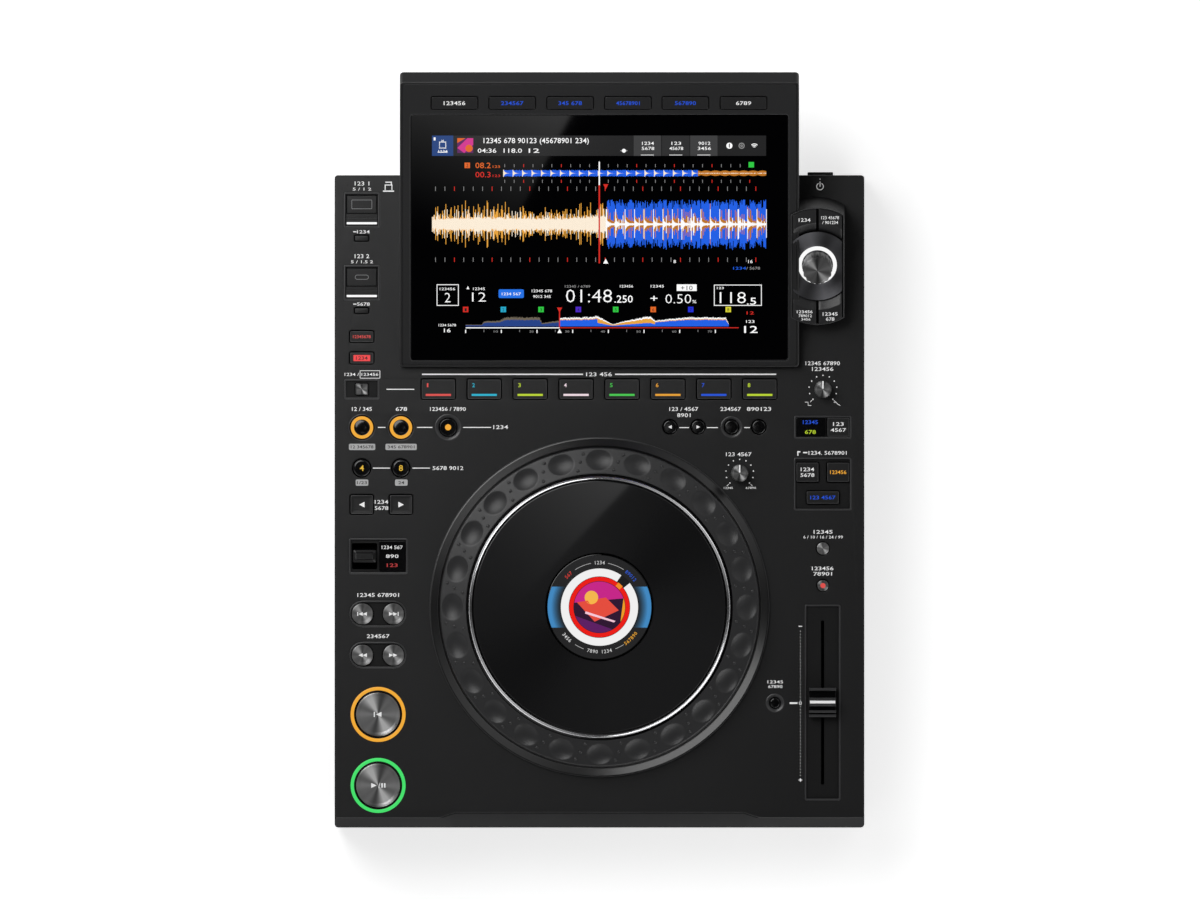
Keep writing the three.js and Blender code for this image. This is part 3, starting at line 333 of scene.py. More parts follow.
def tidyMesh(mesh, angle=35, merge=1e-6):
    work = bmesh.new()
    work.from_mesh(mesh)
    bmesh.ops.remove_doubles(work, verts=work.verts, dist=merge)
    bmesh.ops.dissolve_degenerate(work, edges=work.edges, dist=1e-8)
    bmesh.ops.recalc_face_normals(work, faces=work.faces)
    work.to_mesh(mesh)
    work.free()
    mesh.polygons.foreach_set("use_smooth", [True] * len(mesh.polygons))
    mesh.set_sharp_from_angle(angle=math.radians(angle))
    mesh.update()
    return mesh


def spotAt(x, y, z):
    return Matrix.Translation((x, y, z))


def fullTurn(count):
    return np.linspace(0, 2 * math.pi, count, endpoint=False)


def turnedRing(radius, turn, height):
    return np.stack([radius * np.cos(turn), radius * np.sin(turn), np.broadcast_to(height, np.shape(turn))], -1)


def wallFaces(rim, count):
    # quads between a rim and the same rim further on by the count
    after = np.roll(rim, -1)
    return np.stack([rim, after, after + count, rim + count], -1)


def placed(points, spot):
    turn = np.array(spot)
    return points @ turn[:3, :3].T + turn[:3, 3]


def meshFrom(name, points, faces, spot, angle=35):
    mesh = bpy.data.meshes.new(name)
    mesh.from_pydata(placed(points.reshape(-1, 3), spot), [], faces)
    return tidyMesh(mesh, angle)


def quadGrid(index):
    return np.stack([index[:-1, :-1], index[:-1, 1:], index[1:, 1:], index[1:, :-1]], -1).reshape(-1, 4)


def ringsMesh(name, rings, spot, closed=False, angle=35):
    # rings of equal count, one after another; unless the rows close on themselves, both ends shrink to a point
    rings = [np.asarray(ring) for ring in rings]
    if not closed:
        first = np.repeat(rings[0].mean(0, keepdims=True), len(rings[0]), 0)
        last = np.repeat(rings[-1].mean(0, keepdims=True), len(rings[0]), 0)
        rings = [first, *rings, last]
    points = np.stack(rings)
    rows, columns = points.shape[:2]
    index = np.arange(rows * columns).reshape(rows, columns)
    index = np.concatenate([index, index[:, :1]], 1)
    if closed:
        index = np.concatenate([index, index[:1]], 0)
    return meshFrom(name, points, quadGrid(index), spot, angle)


def plateMesh(name, plan, heights, bottom, spot, angle=35):
    # a lid of given heights over a grid of plan points, with walls down to a flat bottom
    rows, columns = heights.shape
    top = np.concatenate([plan, heights[..., None]], -1).reshape(-1, 3)
    low = top.copy()
    low[:, 2] = bottom
    index = np.arange(rows * columns).reshape(rows, columns)
    rim = np.concatenate([index[0, :-1], index[:-1, -1], index[-1, :0:-1], index[:0:-1, 0]])
    count = rows * columns
    faces = np.concatenate([quadGrid(index), quadGrid(index)[:, ::-1] + count, wallFaces(rim, count)])
    return meshFrom(name, np.concatenate([top, low]), faces, spot, angle)


def circleOutline(radius, count=48):
    angles = fullTurn(count)
    return np.stack([radius * np.cos(angles), radius * np.sin(angles)], -1)


def rectangleOutline(width, depth, corner, perCorner=5):
    # four quarter circles, one at each corner
    parts = []
    for turn, (sideX, sideY) in enumerate(((1, 1), (-1, 1), (-1, -1), (1, -1))):
        angles = np.linspace(0, math.pi / 2, perCorner) + turn * math.pi / 2
        x = sideX * (width / 2 - corner) + corner * np.cos(angles)
        y = sideY * (depth / 2 - corner) + corner * np.sin(angles)
        parts.append(np.stack([x, y], -1))
    return np.concatenate(parts)


def outlineOf(shape, inset=0.0):
    if "radius" in shape:
        return circleOutline(shape["radius"] - inset, shape.get("count", 48))
    corner = max(shape["corner"] - inset, 0.05 * mm)
    return rectangleOutline(shape["width"] - 2 * inset, shape["depth"] - 2 * inset, corner)


def lifted(outline, height):
    return np.concatenate([outline, np.full((len(outline), 1), height)], 1)


def moved(outline, x, y):
    return outline + np.array([x, y])


def capMesh(name, shape, profile, spot, angle=30):
    # the outline drawn in row by row, each row with its inset and its height
    return ringsMesh(name, [lifted(outlineOf(shape, inset), height) for inset, height in profile], spot, angle=angle)


def capProfile(bottom, rise, edge, dish=0.0, steps=4):
    # up the side, a quarter circle over the edge, then a shallow dish towards the middle
    turn = np.linspace(0, math.pi / 2, steps + 1)[1:]
    rows = [(0, bottom), (0, rise - edge)]
    rows += [(edge * (1 - math.cos(a)), rise - edge + edge * math.sin(a)) for a in turn]
    if dish:
        rows += [(edge + 0.6 * mm + k * 0.5 * mm, rise - dish * (1 - (1 - k / 3) ** 2)) for k in range(1, 4)]
    return rows


def latheMesh(name, profile, spot, steps=96, closed=True, angle=30):
    # a profile of radius and height, turned round the local Z axis
    return ringsMesh(name, [turnedRing(r, fullTurn(steps), z) for r, z in profile], spot, closed, angle)


def addTurned(name, profile, spot, steps, material, body):
    return addPiece(name, latheMesh(name, profile, spot, steps), material, body)


def bandProfile(inner, outer, bottom, top, edge):
    # a ring's section with its two upper edges rounded
    arc = np.linspace(0, math.pi / 2, 4)
    out = [(outer - edge * (1 - math.cos(a)), top - edge + edge * math.sin(a)) for a in arc]
    back = [(inner + edge * (1 - math.cos(a)), top - edge + edge * math.sin(a)) for a in arc[::-1]]
    return [(inner, bottom), (outer, bottom), *out, *back]


def meshOfCurve(curve, spot):
    carrier = bpy.data.objects.new("carrier", curve)
    bpy.context.collection.objects.link(carrier)
    bpy.context.view_layer.update()
    mesh = bpy.data.meshes.new_from_object(carrier.evaluated_get(bpy.context.evaluated_depsgraph_get()))
    bpy.data.objects.remove(carrier)
    bpy.data.curves.remove(curve)
    mesh.transform(spot)
    return mesh


def sheetMesh(name, outlines, bottom, top, edge, spot, angle=40):
    # flat outlines, the first outside and the rest holes, given thickness and rounded edges
    curve = bpy.data.curves.new(name, "CURVE")
    curve.dimensions = "2D"
    curve.fill_mode = "BOTH"
    for outline in outlines:
        spline = curve.splines.new("POLY")
        spline.points.add(len(outline) - 1)
        flat = np.ones((len(outline), 4))
        flat[:, :2] = outline
        flat[:, 2] = 0
        spline.points.foreach_set("co", flat.ravel())
        spline.use_cyclic_u = True
    curve.extrude = (top - bottom) / 2 - edge
    curve.bevel_depth = edge
    curve.bevel_resolution = 1
    curve.offset = -edge
    mesh = meshOfCurve(curve, spot @ spotAt(0, 0, (top + bottom) / 2))
    mesh.name = name
    return tidyMesh(mesh, angle)


# Small flat parts for print and light: each is a pair of points and faces, closed all round


def platePart(outline, bottom, top):
    count = len(outline)
    ring = np.arange(count)
    points = np.concatenate([lifted(outline, bottom), lifted(outline, top)])
    return points, wallFaces(ring, count).tolist() + [ring[::-1].tolist(), (ring + count).tolist()]


def boxesPart(left, right, low, high, bottom, top):
    # many upright boxes at once, from arrays of their edges
    left, right, low, high = np.broadcast_arrays(*np.atleast_1d(left, right, low, high))
    corners = [(left, low), (right, low), (right, high), (left, high)]
    points = [np.stack([x, y, np.full(x.shape, level)], -1) for level in (bottom, top) for x, y in corners]
    points = np.stack(points, 1).reshape(-1, 3)
    sides = np.array([[3, 2, 1, 0], [4, 5, 6, 7], [0, 1, 5, 4], [1, 2, 6, 5], [2, 3, 7, 6], [3, 0, 4, 7]])
    return points, (sides[None] + 8 * np.arange(left.size)[:, None, None]).reshape(-1, 4).tolist()


def wordsPart(words, x, y, size, bottom, top, align="CENTER", turn=0.0, span=None, weight=0.008):
    # solid digits, centred in height on what is drawn and stretched to the width of the real line
    text = bpy.data.curves.new("words", "FONT")
    text.body = words
    text.size = size
    text.align_x = align
    text.offset = size * weight
    text.resolution_u = 2
    text.extrude = (top - bottom) / 2
    mesh = meshOfCurve(text, Matrix.Identity(4))
    points = np.empty(len(mesh.vertices) * 3, dtype=np.float32)
    mesh.vertices.foreach_get("co", points)
    faces = [list(face.vertices) for face in mesh.polygons]
    bpy.data.meshes.remove(mesh)
    points = points.reshape(-1, 3).astype(float)
    low, high = points[:, :2].min(0), points[:, :2].max(0)
    points[:, 1] -= (low[1] + high[1]) / 2
    if span:
        anchor = (low[0] + high[0]) / 2 if align == "CENTER" else low[0]
        points[:, 0] = (points[:, 0] - anchor) * span / (high[0] - low[0])
    place = Matrix.Translation((x, y, (top + bottom) / 2)) @ Matrix.Rotation(turn, 4, "Z")
    return placed(points, place), faces


def strokePart(path, width, bottom, top):
    # a thin line along a short path, as one closed strip
    path = np.asarray(path, dtype=float)
    along = np.gradient(path, axis=0)
    along /= np.linalg.norm(along, axis=1, keepdims=True)
    side = np.stack([-along[:, 1], along[:, 0]], -1) * width / 2
    return platePart(np.concatenate([path + side, (path - side)[::-1]]), bottom, top)


def arcPart(x, y, inner, outer, fromAngle, toAngle, bottom, top, steps=24):
    angles = np.radians(np.linspace(fromAngle, toAngle, steps))
    ring = np.stack([np.cos(angles), np.sin(angles)], -1)
    points = np.concatenate([ring * inner, ring[::-1] * outer]) + np.array([x, y])
    index = np.arange(steps - 1)
    back = 2 * steps - 1 - index
    quads = np.stack([index, index + 1, back - 1, back], -1)
    count = 2 * steps
    faces = np.concatenate([quads, quads[:, ::-1] + count, wallFaces(np.arange(count), count)]).tolist()
    return np.concatenate([lifted(points, bottom), lifted(points, top)]), faces


def addParts(name, parts, material, spot, body="chassis", tints=None):
    points, faces, colors, first = [], [], [], 0
    for order, (block, blockFaces) in enumerate(parts):
        points.append(block)
        faces += [[vertex + first for vertex in face] for face in blockFaces]
        first += len(block)
        if tints:
            colors.append(np.tile(shade(tints[order]), (len(block), 1)))
    mesh = bpy.data.meshes.new(name)
    mesh.from_pydata(placed(np.concatenate(points), spot), [], faces)
    if tints:
        layer = mesh.attributes.new("tint", "FLOAT_COLOR", "POINT")
        layer.data.foreach_set("color", np.concatenate(colors).ravel())
    work = bmesh.new()
    work.from_mesh(mesh)
    bmesh.ops.recalc_face_normals(work, faces=work.faces)
    work.to_mesh(mesh)
    work.free()
    return addPiece(name, mesh, material, body)


# The two surfaces that everything sits on: the level deck and the sloping display face


def middleOf(node):
    low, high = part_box(node)
    return (low + high) / 2


caseLow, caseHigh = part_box("lower_case")
panelLow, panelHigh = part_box("top_panel")
housingLow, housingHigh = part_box("display_housing")
deckTop = housingLow.z - 0.3 * mm
deckFront, deckRear = panelLow.y, panelHigh.y
deckSpot = spotAt(0, 0, deckTop)
pressAxis = next(joint["axis"] for joint in frame["joints"] if joint["name"] == "menu_key_press")
faceNormal = -Vector(pressAxis).normalized()
faceTilt = math.atan2(-faceNormal.y, faceNormal.z)
faceLevel = max(faceNormal.dot(v.co) for v in nodes["display_glass"].data.vertices)
faceOver = Matrix(((1, 0, faceNormal.x, 0), (0, 1, faceNormal.y, 0),
                   (0, math.tan(faceTilt), faceNormal.z, faceLevel / faceNormal.z), (0, 0, 0, 1)))


def deckSpotOf(node):
    middle = middleOf(node)
    return spotAt(middle.x, middle.y, deckTop)


def faceSpotOf(node):
    # the point of the sloping face on the node's own press axis
    middle = middleOf(node)
    middle += faceNormal * (faceLevel - faceNormal.dot(middle))
    return Matrix.Translation(middle) @ Matrix.Rotation(faceTilt, 4, "X")


# Deck: an upper skin with the wells' openings over a lower skin with the keys' openings; the lower skin is near black,
# a painted shade in the gaps and wells

deck = inMm(
    skin=0.95, thickness=2.9, edge=0.36, frame=0.95, frameRise=0.14, corner=2, notchHalf=89.4, notchFlare=10,
    notchDepth=3.3, gap=0.55,
)
keyShapes = {
    "bar": inMm(width=14.6, depth=7, corner=0.9),
    "bank": inMm(width=7.7, depth=6.9, corner=0.8),
    "pad": inMm(width=20.9, depth=12.3, corner=1.0),
    "loop": inMm(radius=7.3),
    "loopExit": inMm(radius=5.4),
    "beat": inMm(radius=5.5),
    "jump": inMm(width=14.1, depth=11.9, corner=1.0),
    "seek": inMm(radius=6.6),
    "transport": {"radius": 13.6 * mm, "count": 96},
    "call": inMm(radius=4.3),
    "mode": inMm(width=13.8, depth=11.9, corner=0.9),
    "sync": inMm(width=13.9, depth=12, corner=0.9),
    "keySync": inMm(width=20.2, depth=7.8, corner=0.9),
    "range": inMm(radius=3.8),
    "tempo": inMm(radius=3.5),
    "reset": inMm(radius=3.1),
}
keyFamilies = {
    "bar": ["quantize_key", "slip_key"],
    "bank": ["bank_key"],
    "pad": [f"pad_{k}" for k in range(1, 9)],
    "loop": ["loop_in_key", "loop_out_key"],
    "loopExit": ["loop_exit_key"],
    "beat": ["beat_four_key", "beat_eight_key"],
    "jump": ["beat_jump_back_key", "beat_jump_ahead_key"],
    "seek": ["track_back_key", "track_ahead_key", "search_back_key", "search_ahead_key"],
    "transport": ["cue_button", "play_button"],
    "call": ["call_back_key", "call_ahead_key", "delete_key", "memory_key"],
    "mode": ["jog_mode_key"],
    "sync": ["beat_sync_key", "master_key"],
    "keySync": ["key_sync_key"],
    "range": ["tempo_range_key"],
    "tempo": ["master_tempo_key"],
    "reset": ["tempo_reset_key"],
}
familyOf = {node: family for family, members in keyFamilies.items() for node in members}
roundWells = {
    "loop_in_key": 8.3 * mm,
    "loop_out_key": 8.3 * mm,
    "loop_exit_key": 8.1 * mm,
    "delete_key": 6.6 * mm,
    "tempo_reset_key": 5.7 * mm,
}
bankWell = inMm(width=21.5, depth=12.3, corner=0.9)
seekWell = inMm(width=35.5, depth=16.3, corner=8.1)
faderWell = inMm(width=22.1, depth=121.4, corner=1.2)
faderSlot = inMm(width=1.9, depth=101.8, corner=0.5)
leverWell = inMm(width=36.3, depth=22, corner=1.2)
leverSlot = inMm(width=15.6, depth=16.3, corner=0.9)
stickWell = inMm(width=22.3, depth=21.7, corner=0.9)
stickMouth = inMm(width=19.2, depth=11.6, corner=0.3)
modeWell = inMm(width=35.4, depth=14, corner=1.1)
syncWell = inMm(width=35.7, depth=32.7, corner=1.3)
stopKey = inMm(width=8.4, depth=3.3, corner=0.7)
knobHole = inMm(radius=2.9)
hubHole = {"radius": 31 * mm, "count": 96}

leverMiddle = middleOf("direction_lever")
faderMiddle = middleOf("tempo_fader")
leverWellMiddle = (-137.3 * mm, leverMiddle.y)
stickMiddles = [(-147.6 * mm, 149.0 * mm), (-147.6 * mm, 103.8 * mm)]
stopMiddles = [(-147.7 * mm, 131.4 * mm), (-147.7 * mm, 86.4 * mm)]
seekMiddles = [(-137.6 * mm, -101.9 * mm), (-137.6 * mm, -127.5 * mm)]
modeMiddle = (138.7 * mm, 14.1 * mm)
syncMiddle = (138.7 * mm, -21.2 * mm)


def openingsOf(shape, middles, grow=0.0):
    return [moved(outlineOf(shape, -grow), x, y) for x, y in middles]


def deckOutline(inset=0.0):
    # the panel's rim, with the shallow flared notch in its front edge
    width, depth = panelHigh.x - panelLow.x, deckRear - deckFront
    rim = rectangleOutline(width - 2 * inset, depth - 2 * inset, deck["corner"] - inset)
    rim[:, 1] += (deckRear + deckFront) / 2
    across, flare, front = deck["notchHalf"], deck["notchFlare"], deckFront + inset
    notch = [
        [-across - flare, front],
        [-across, front + deck["notchDepth"]],
        [across, front + deck["notchDepth"]],
        [across + flare, front],
    ]
    return np.concatenate([rim[:15], notch, rim[15:]])


def buildDeck():
    gap = deck["gap"]
    keyHoles, wellHoles = [], []
    for node, family in familyOf.items():
        middle = middleOf(node)
        hole = moved(outlineOf(keyShapes[family], -gap), middle.x, middle.y)
        keyHoles.append(hole)
        if node in roundWells:
            wellHoles.append(moved(circleOutline(roundWells[node]), middle.x, middle.y))
        elif family == "bank":
            wellHoles.append(moved(outlineOf(bankWell), middle.x, middle.y))
        elif family not in ("seek", "mode", "sync", "keySync"):
            wellHoles.append(hole)
    fader = [(faderMiddle.x, faderMiddle.y)]
    lever = [(leverMiddle.x, leverMiddle.y)]
    knobs = [(middleOf(node).x, middleOf(node).y) for node in ("jog_feel_knob", "stop_speed_knob")]
    hub = [(middleOf("jog_wheel").x, middleOf("jog_wheel").y)]
    mouths = []
    for order, (x, _) in enumerate(stickMiddles, 1):
        flapLow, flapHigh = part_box(f"stick_flap_{order}")
        mouths.append((x, (flapLow.y + flapHigh.y) / 2))
    both = openingsOf(knobHole, knobs) + openingsOf(hubHole, hub) + openingsOf(stopKey, stopMiddles, gap)
    wellHoles += both + openingsOf(seekWell, seekMiddles) + openingsOf(modeWell, [modeMiddle])
    wellHoles += openingsOf(syncWell, [syncMiddle]) + openingsOf(faderWell, fader)
    wellHoles += openingsOf(leverWell, [leverWellMiddle]) + openingsOf(stickWell, stickMiddles)
    keyHoles += both + openingsOf(faderSlot, fader) + openingsOf(leverSlot, lever) + openingsOf(stickMouth, mouths)
    upper = sheetMesh("deckSkin", [deckOutline(), *wellHoles], -deck["skin"], 0, deck["edge"], deckSpot)
    lower = sheetMesh("deckUnderSkin", [deckOutline(0.1 * mm), *keyHoles], -deck["thickness"],
                      -deck["skin"] - 0.01 * mm, 0.1 * mm, deckSpot)
    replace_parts(addPiece("deckSkin", upper, "panel", "chassis", True), "top_panel")
    # the lower skin's near black is painted shade
    addPiece("deckUnderSkin", lower, "paintedShadeWell", "chassis", True)
    for order, (x, y) in enumerate(stopMiddles, 1):
        cap = capMesh(f"stopKey{order}", stopKey, capProfile(-2 * mm, 0.35 * mm, 0.3 * mm), spotAt(x, y, deckTop))
        addPiece(f"stopKey{order}", cap, "key", "chassis")
    # thin frames standing on the rims of the wells, light grey as a painted highlight on the wells' edges
    bankNode = middleOf("bank_key")
    rims = []
    for shape, middles in ((faderWell, fader), (leverWell, [leverWellMiddle]), (modeWell, [modeMiddle]),
                           (seekWell, seekMiddles),
                           (syncWell, [syncMiddle]), (stickWell, stickMiddles), (bankWell, [(bankNode.x, bankNode.y)])):
        rims += openingsOf(shape, middles, 0.1 * mm) + openingsOf(shape, middles, -deck["frame"])
    frames = sheetMesh("wellFrames", rims, -deck["skin"] + 0.1 * mm, deck["frameRise"], 0.3 * mm, deckSpot)
    addPiece("wellFrames", frames, "trim", "chassis", True)
    # light rings round the round wells: a painted highlight on their edges
    for node, outer in roundWells.items():
        inner = keyShapes[familyOf[node]]["radius"] + gap
        rows = [(inner, -0.9 * mm), (outer + 0.1 * mm, -0.9 * mm), (outer + 0.1 * mm, 0),
                (outer - 0.25 * mm, 0.12 * mm),
                (outer - 0.5 * mm, 0.04 * mm), (inner + 0.1 * mm, -0.62 * mm), (inner, -0.7 * mm)]
        addTurned(node + "Ring", rows, deckSpotOf(node), 72, "trim", "chassis")


buildDeck()
print("deck made")

# Case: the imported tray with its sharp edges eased, and rubber feet

caseTrim = inMm(
    ease=0.35, footRadius=13.3, footHeight=5.6, footInset=30,
)


def easedCopy(node, name, width, material):
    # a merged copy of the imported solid, flat faces joined up and every sharp edge rounded
    mesh = nodes[node].data.copy()
    work = bmesh.new()
    work.from_mesh(mesh)
    bmesh.ops.remove_doubles(work, verts=work.verts, dist=2e-6)
    bmesh.ops.dissolve_limit(work, angle_limit=math.radians(1.5), verts=work.verts, edges=work.edges)
    work.to_mesh(mesh)
    work.free()
    mesh.polygons.foreach_set("use_smooth", [True] * len(mesh.polygons))
    mesh.set_sharp_from_angle(angle=math.radians(40))
    piece = addPiece(name, mesh, material, "chassis")
    ease = piece.modifiers.new("easedEdges", "BEVEL")
    ease.width = width
    ease.segments = 2
    ease.limit_method = "ANGLE"
    ease.angle_limit = math.radians(40)
    ease.use_clamp_overlap = True
    even = piece.modifiers.new("evenShading", "WEIGHTED_NORMAL")
    even.keep_sharp = False
    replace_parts(piece, node)


def buildCase():
    easedCopy("lower_case", "caseTray", caseTrim["ease"], "case")
    inset = caseTrim["footInset"]
    radius, height = caseTrim["footRadius"], caseTrim["footHeight"]
    profile = [(radius - 1.4 * mm, 0), (radius - 0.4 * mm, 0.6 * mm), (radius, 2 * mm), (radius, height),
               (radius - 0.5 * mm, height + 0.4 * mm)]
    for side, x in (("Left", caseLow.x + inset), ("Right", caseHigh.x - inset)):
        for end, y in (("Front", caseLow.y + inset), ("Rear", deckRear - inset)):
            foot = latheMesh(f"foot{end}{side}", profile, spotAt(x, y, 0), 64, closed=False)
            addPiece(f"foot{end}{side}", foot, "rubber", "chassis")


buildCase()
print("case made")

# Display: a housing with a shallow tray in its sloping face, a frame sheet, the cover glass and six keys

display = {
    "glass": inMm(width=234.2, depth=158.4, corner=1.4), "key": inMm(width=28.4, depth=7.7, corner=0.9),
    **inMm(
        half=124, rim=1.3, rimEdge=0.6, tray=2.9, corner=2.2, frontY=51.5, bevelY=228.5, wallTop=113, wallFoot=93,
        wallFootY=231.6, neckY=164.6, seat=0.25, keyRise=0.5,
    ),
}
displayKeys = ["source_key", "browse_key", "list_key", "playlist_key", "search_text_key", "menu_key"]


def faceHeight(y):
    return (faceLevel - faceNormal.y * y) / faceNormal.z


def housingRing(inset, frontY, rearY, frontZ, rearZ, corner):
    # a rounded rectangle in plan whose height runs evenly from its front to its rear
    outline = rectangleOutline(2 * (display["half"] - inset), rearY - frontY, max(corner, 0.05 * mm))
    outline[:, 1] += (rearY + frontY) / 2
    share = (outline[:, 1] - frontY) / (rearY - frontY)
    return np.concatenate([outline, (frontZ + (rearZ - frontZ) * share)[:, None]], 1)


def faceRing(inset, drop):
    front, rear = display["frontY"] + inset, display["bevelY"] - inset
    heights = [faceHeight(y) - drop / faceNormal.z for y in (front, rear)]
    return housingRing(inset, front, rear, *heights, display["corner"] - inset)


def buildHousing():
    front, edge = display["frontY"], display["rimEdge"]
    under = deckTop + display["seat"]
    frontTop = faceHeight(front)
    rings = [
        housingRing(0.5 * mm, front + 0.5 * mm, display["neckY"], under, under, 1.5 * mm),
        housingRing(0, front, display["neckY"] + 2 * mm, under + 0.4 * mm, under + 1.2 * mm, 2 * mm),
        housingRing(0, front, display["wallFootY"], under + 1.2 * mm, display["wallFoot"], 2.2 * mm),
        housingRing(0, front, housingHigh.y - 0.3 * mm, frontTop - 1.6 * mm, display["wallTop"] - 1.2 * mm, 2.2 * mm),
        housingRing(0, front, housingHigh.y, frontTop - 1.2 * mm, display["wallTop"], 2.2 * mm),
        housingRing(0, front, housingHigh.y - 0.9 * mm, frontTop - 0.9 * mm, display["wallTop"] + 0.8 * mm, 2.2 * mm),
    ]
    turn = np.linspace(0, math.pi / 2, 5)
    rings += [faceRing(edge * (1 - math.cos(a)), edge - edge * math.sin(a)) for a in turn]
    rim = display["rim"]
    rings += [faceRing(rim - 0.25 * mm, 0), faceRing(rim - 0.07 * mm, 0.07 * mm), faceRing(rim, 0.25 * mm),
              faceRing(rim, display["tray"])]
    shell = ringsMesh("displayHousing", rings, Matrix.Identity(4), angle=28)
    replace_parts(addPiece("displayHousing", shell, "housing", "chassis", True),
                "display_housing")

    glassSpot = faceSpotOf("display_glass")
    depth = (display["bevelY"] - display["frontY"]) / faceNormal.z
    frameSpot = Matrix.Translation(faceOver @ Vector((0, (display["bevelY"] + display["frontY"]) / 2, 0)))
    frameSpot = frameSpot @ Matrix.Rotation(faceTilt, 4, "X")
    toFrame = frameSpot.inverted()
    gap = rim + 0.25 * mm
    outer = rectangleOutline(2 * (display["half"] - gap), depth - 2 * gap, 1.2 * mm)
    glassMiddle = toFrame @ glassSpot.translation
    holes = [moved(outlineOf(display["glass"], -0.3 * mm), glassMiddle.x, glassMiddle.y)]
    for node in displayKeys:
        middle = toFrame @ faceSpotOf(node).translation
        holes.append(moved(outlineOf(display["key"], -0.6 * mm), middle.x, middle.y))
        cap = capMesh(node + "Cap", display["key"], capProfile(-1.7 * mm, display["keyRise"], 0.3 * mm),
                      faceSpotOf(node))
        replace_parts(addPiece(node + "Cap", cap, "displayKey", node, True), node)
    sheet = sheetMesh("displayFrame", [outer, *holes], -display["tray"] + 0.1 * mm, 0, 0.2 * mm, frameSpot)
    addPiece("displayFrame", sheet, "housing", "chassis", True)
    # a light line round the glass: a painted highlight on its edge
    line = sheetMesh("glassHighlightLine", [outlineOf(display["glass"], -inset * mm) for inset in (0.75, 0.3)], -0.5 * mm,
                     0.06 * mm,
                     0.1 * mm, glassSpot)
    addPiece("glassHighlightLine", line, "trim", "chassis", True)
    glass = capMesh("coverGlass", display["glass"], capProfile(-2 * mm, 0, 0.3 * mm), glassSpot)
    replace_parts(addPiece("coverGlass", glass, "glass", "chassis", True), "display_glass")


buildHousing()
print("display made")

# Screen: waves, numbers and marks of light on the cover glass, drawn in the photo's plan

ink = {
    "cream": "#fdeed8", "white": "#ffffff", "amber": "#e8a43c", "orange": "#bd7420", "blue": "#1b5fe6",
    "red": "#d3261c", "grey": "#8c8c8c", "bar": "#1c1c1d", "tab": "#3b3b3c", "tabDark": "#2a2a2b",
    "navy": "#1b3f7c", "green": "#2bc840", "cyan": "#1fa7c9", "purple": "#4b22c4", "deepBlue": "#1b2bd6",
    "yellow": "#d8d232", "orangeTag": "#e0641e", "pill": "#1f70e4", "pink": "#d0308c", "plum": "#5b1d5e",
    "slateBlue": "#203f86", "slate": "#6b6152",
}
screen = inMm(
    left=-104.0, right=103.5, waveMiddle=140.1, waveHalf=15.6, beat=5.85,
    head=-0.1, drop=3.9, column=0.42, smallMiddle=171.8, smallLeft=-59.8, overviewLeft=-83.1, overviewRight=80.0,
    overviewBase=76.7, played=-24.8, floor=0.01, layer=0.012,
)
# what the screen says: plain numbers, each with its middle in pixels, its width and height in
# millimetres, and its colour unless it is white
screenWords = (
    ("1", 434.6, 138.9, 1.2, 1.9), ("1234", 442.9, 151.2, 5.6, 1.5),
    ("12345 678 90123 (45678901 234)", 536.2, 141.4, 65.4, 3.3), ("04:36", 487.0, 150.6, 11.6, 2.7),
    ("118.0", 512.8, 150.6, 11.4, 2.7), ("12", 534.0, 150.6, 6.6, 2.7), ("1234", 648.0, 143.3, 7.4, 2.0),
    ("5678", 648.0, 148.4, 7.8, 2.0), ("123", 676.3, 143.3, 6.0, 2.0), ("45678", 676.3, 148.4, 8.6, 2.0),
    ("9012", 704.4, 143.3, 7.4, 2.0), ("3456", 704.4, 148.4, 8.2, 2.0),
    ("08.2", 483.0, 165.4, 9.5, 3.5, "orangeTag"), ("123", 496.4, 166.6, 4.6, 1.5, "orangeTag"),
    ("2", 467.3, 165.4, 1.3, 2.2, "bar"), ("00.3", 483.0, 174.6, 9.5, 3.5, "red"),
    ("123", 496.4, 175.8, 4.6, 1.5, "red"), ("8", 674.7, 261.5, 1.5, 2.0), ("16", 750.4, 261.5, 2.8, 2.0),
    ("1234", 739.6, 268.2, 8.0, 1.7, "blue"), ("/ 5678", 753.2, 268.2, 8.4, 1.7, "grey"),
    ("123456", 447.4, 288.9, 9.6, 1.6), ("2", 447.6, 297.6, 3.6, 6.2), ("12345", 479.0, 288.8, 7.4, 1.6),
    ("12", 479.0, 297.0, 8.6, 6.0), ("1234 567", 511.3, 293.9, 11.8, 1.7), ("12345 678", 541.9, 290.9, 12.6, 1.7),
    ("9012 345", 541.9, 296.5, 11.0, 1.7), ("12345 / 6789", 577.6, 286.4, 15.8, 1.5, "grey"),
    ("123456", 626.5, 286.2, 8.2, 1.6), ("01:48", 589.0, 295.9, 28.6, 8.5), (".250", 623.6, 299.0, 11.4, 4.6),
    ("12345", 657.3, 286.2, 8.2, 1.6), ("+", 654.0, 298.3, 4.4, 4.4), ("0.50", 678.3, 298.8, 16.0, 6.0),
    ("%", 694.3, 301.6, 2.6, 2.0), ("+10", 686.7, 287.9, 7.4, 2.9, "bar"), ("123", 720.3, 288.0, 4.2, 1.4),
    ("118", 732.8, 297.6, 16.2, 7.3), (".5", 751.5, 301.2, 5.8, 4.4), ("1234 5678", 447.3, 325.1, 10.8, 1.5),
    ("16", 447.3, 330.4, 4.2, 2.4), ("12", 750.3, 312.9, 4.6, 1.9, "red"), ("123", 750.3, 321.5, 5.2, 1.7),
    ("12", 750.9, 329.4, 8.4, 4.4),
)
screenParts, screenTints = [], []


def light(part, color):
    screenParts.append(part)
    screenTints.append(ink[color])


def level(order):
    return screen["floor"], screen["floor"] + screen["layer"] * (order + 1)


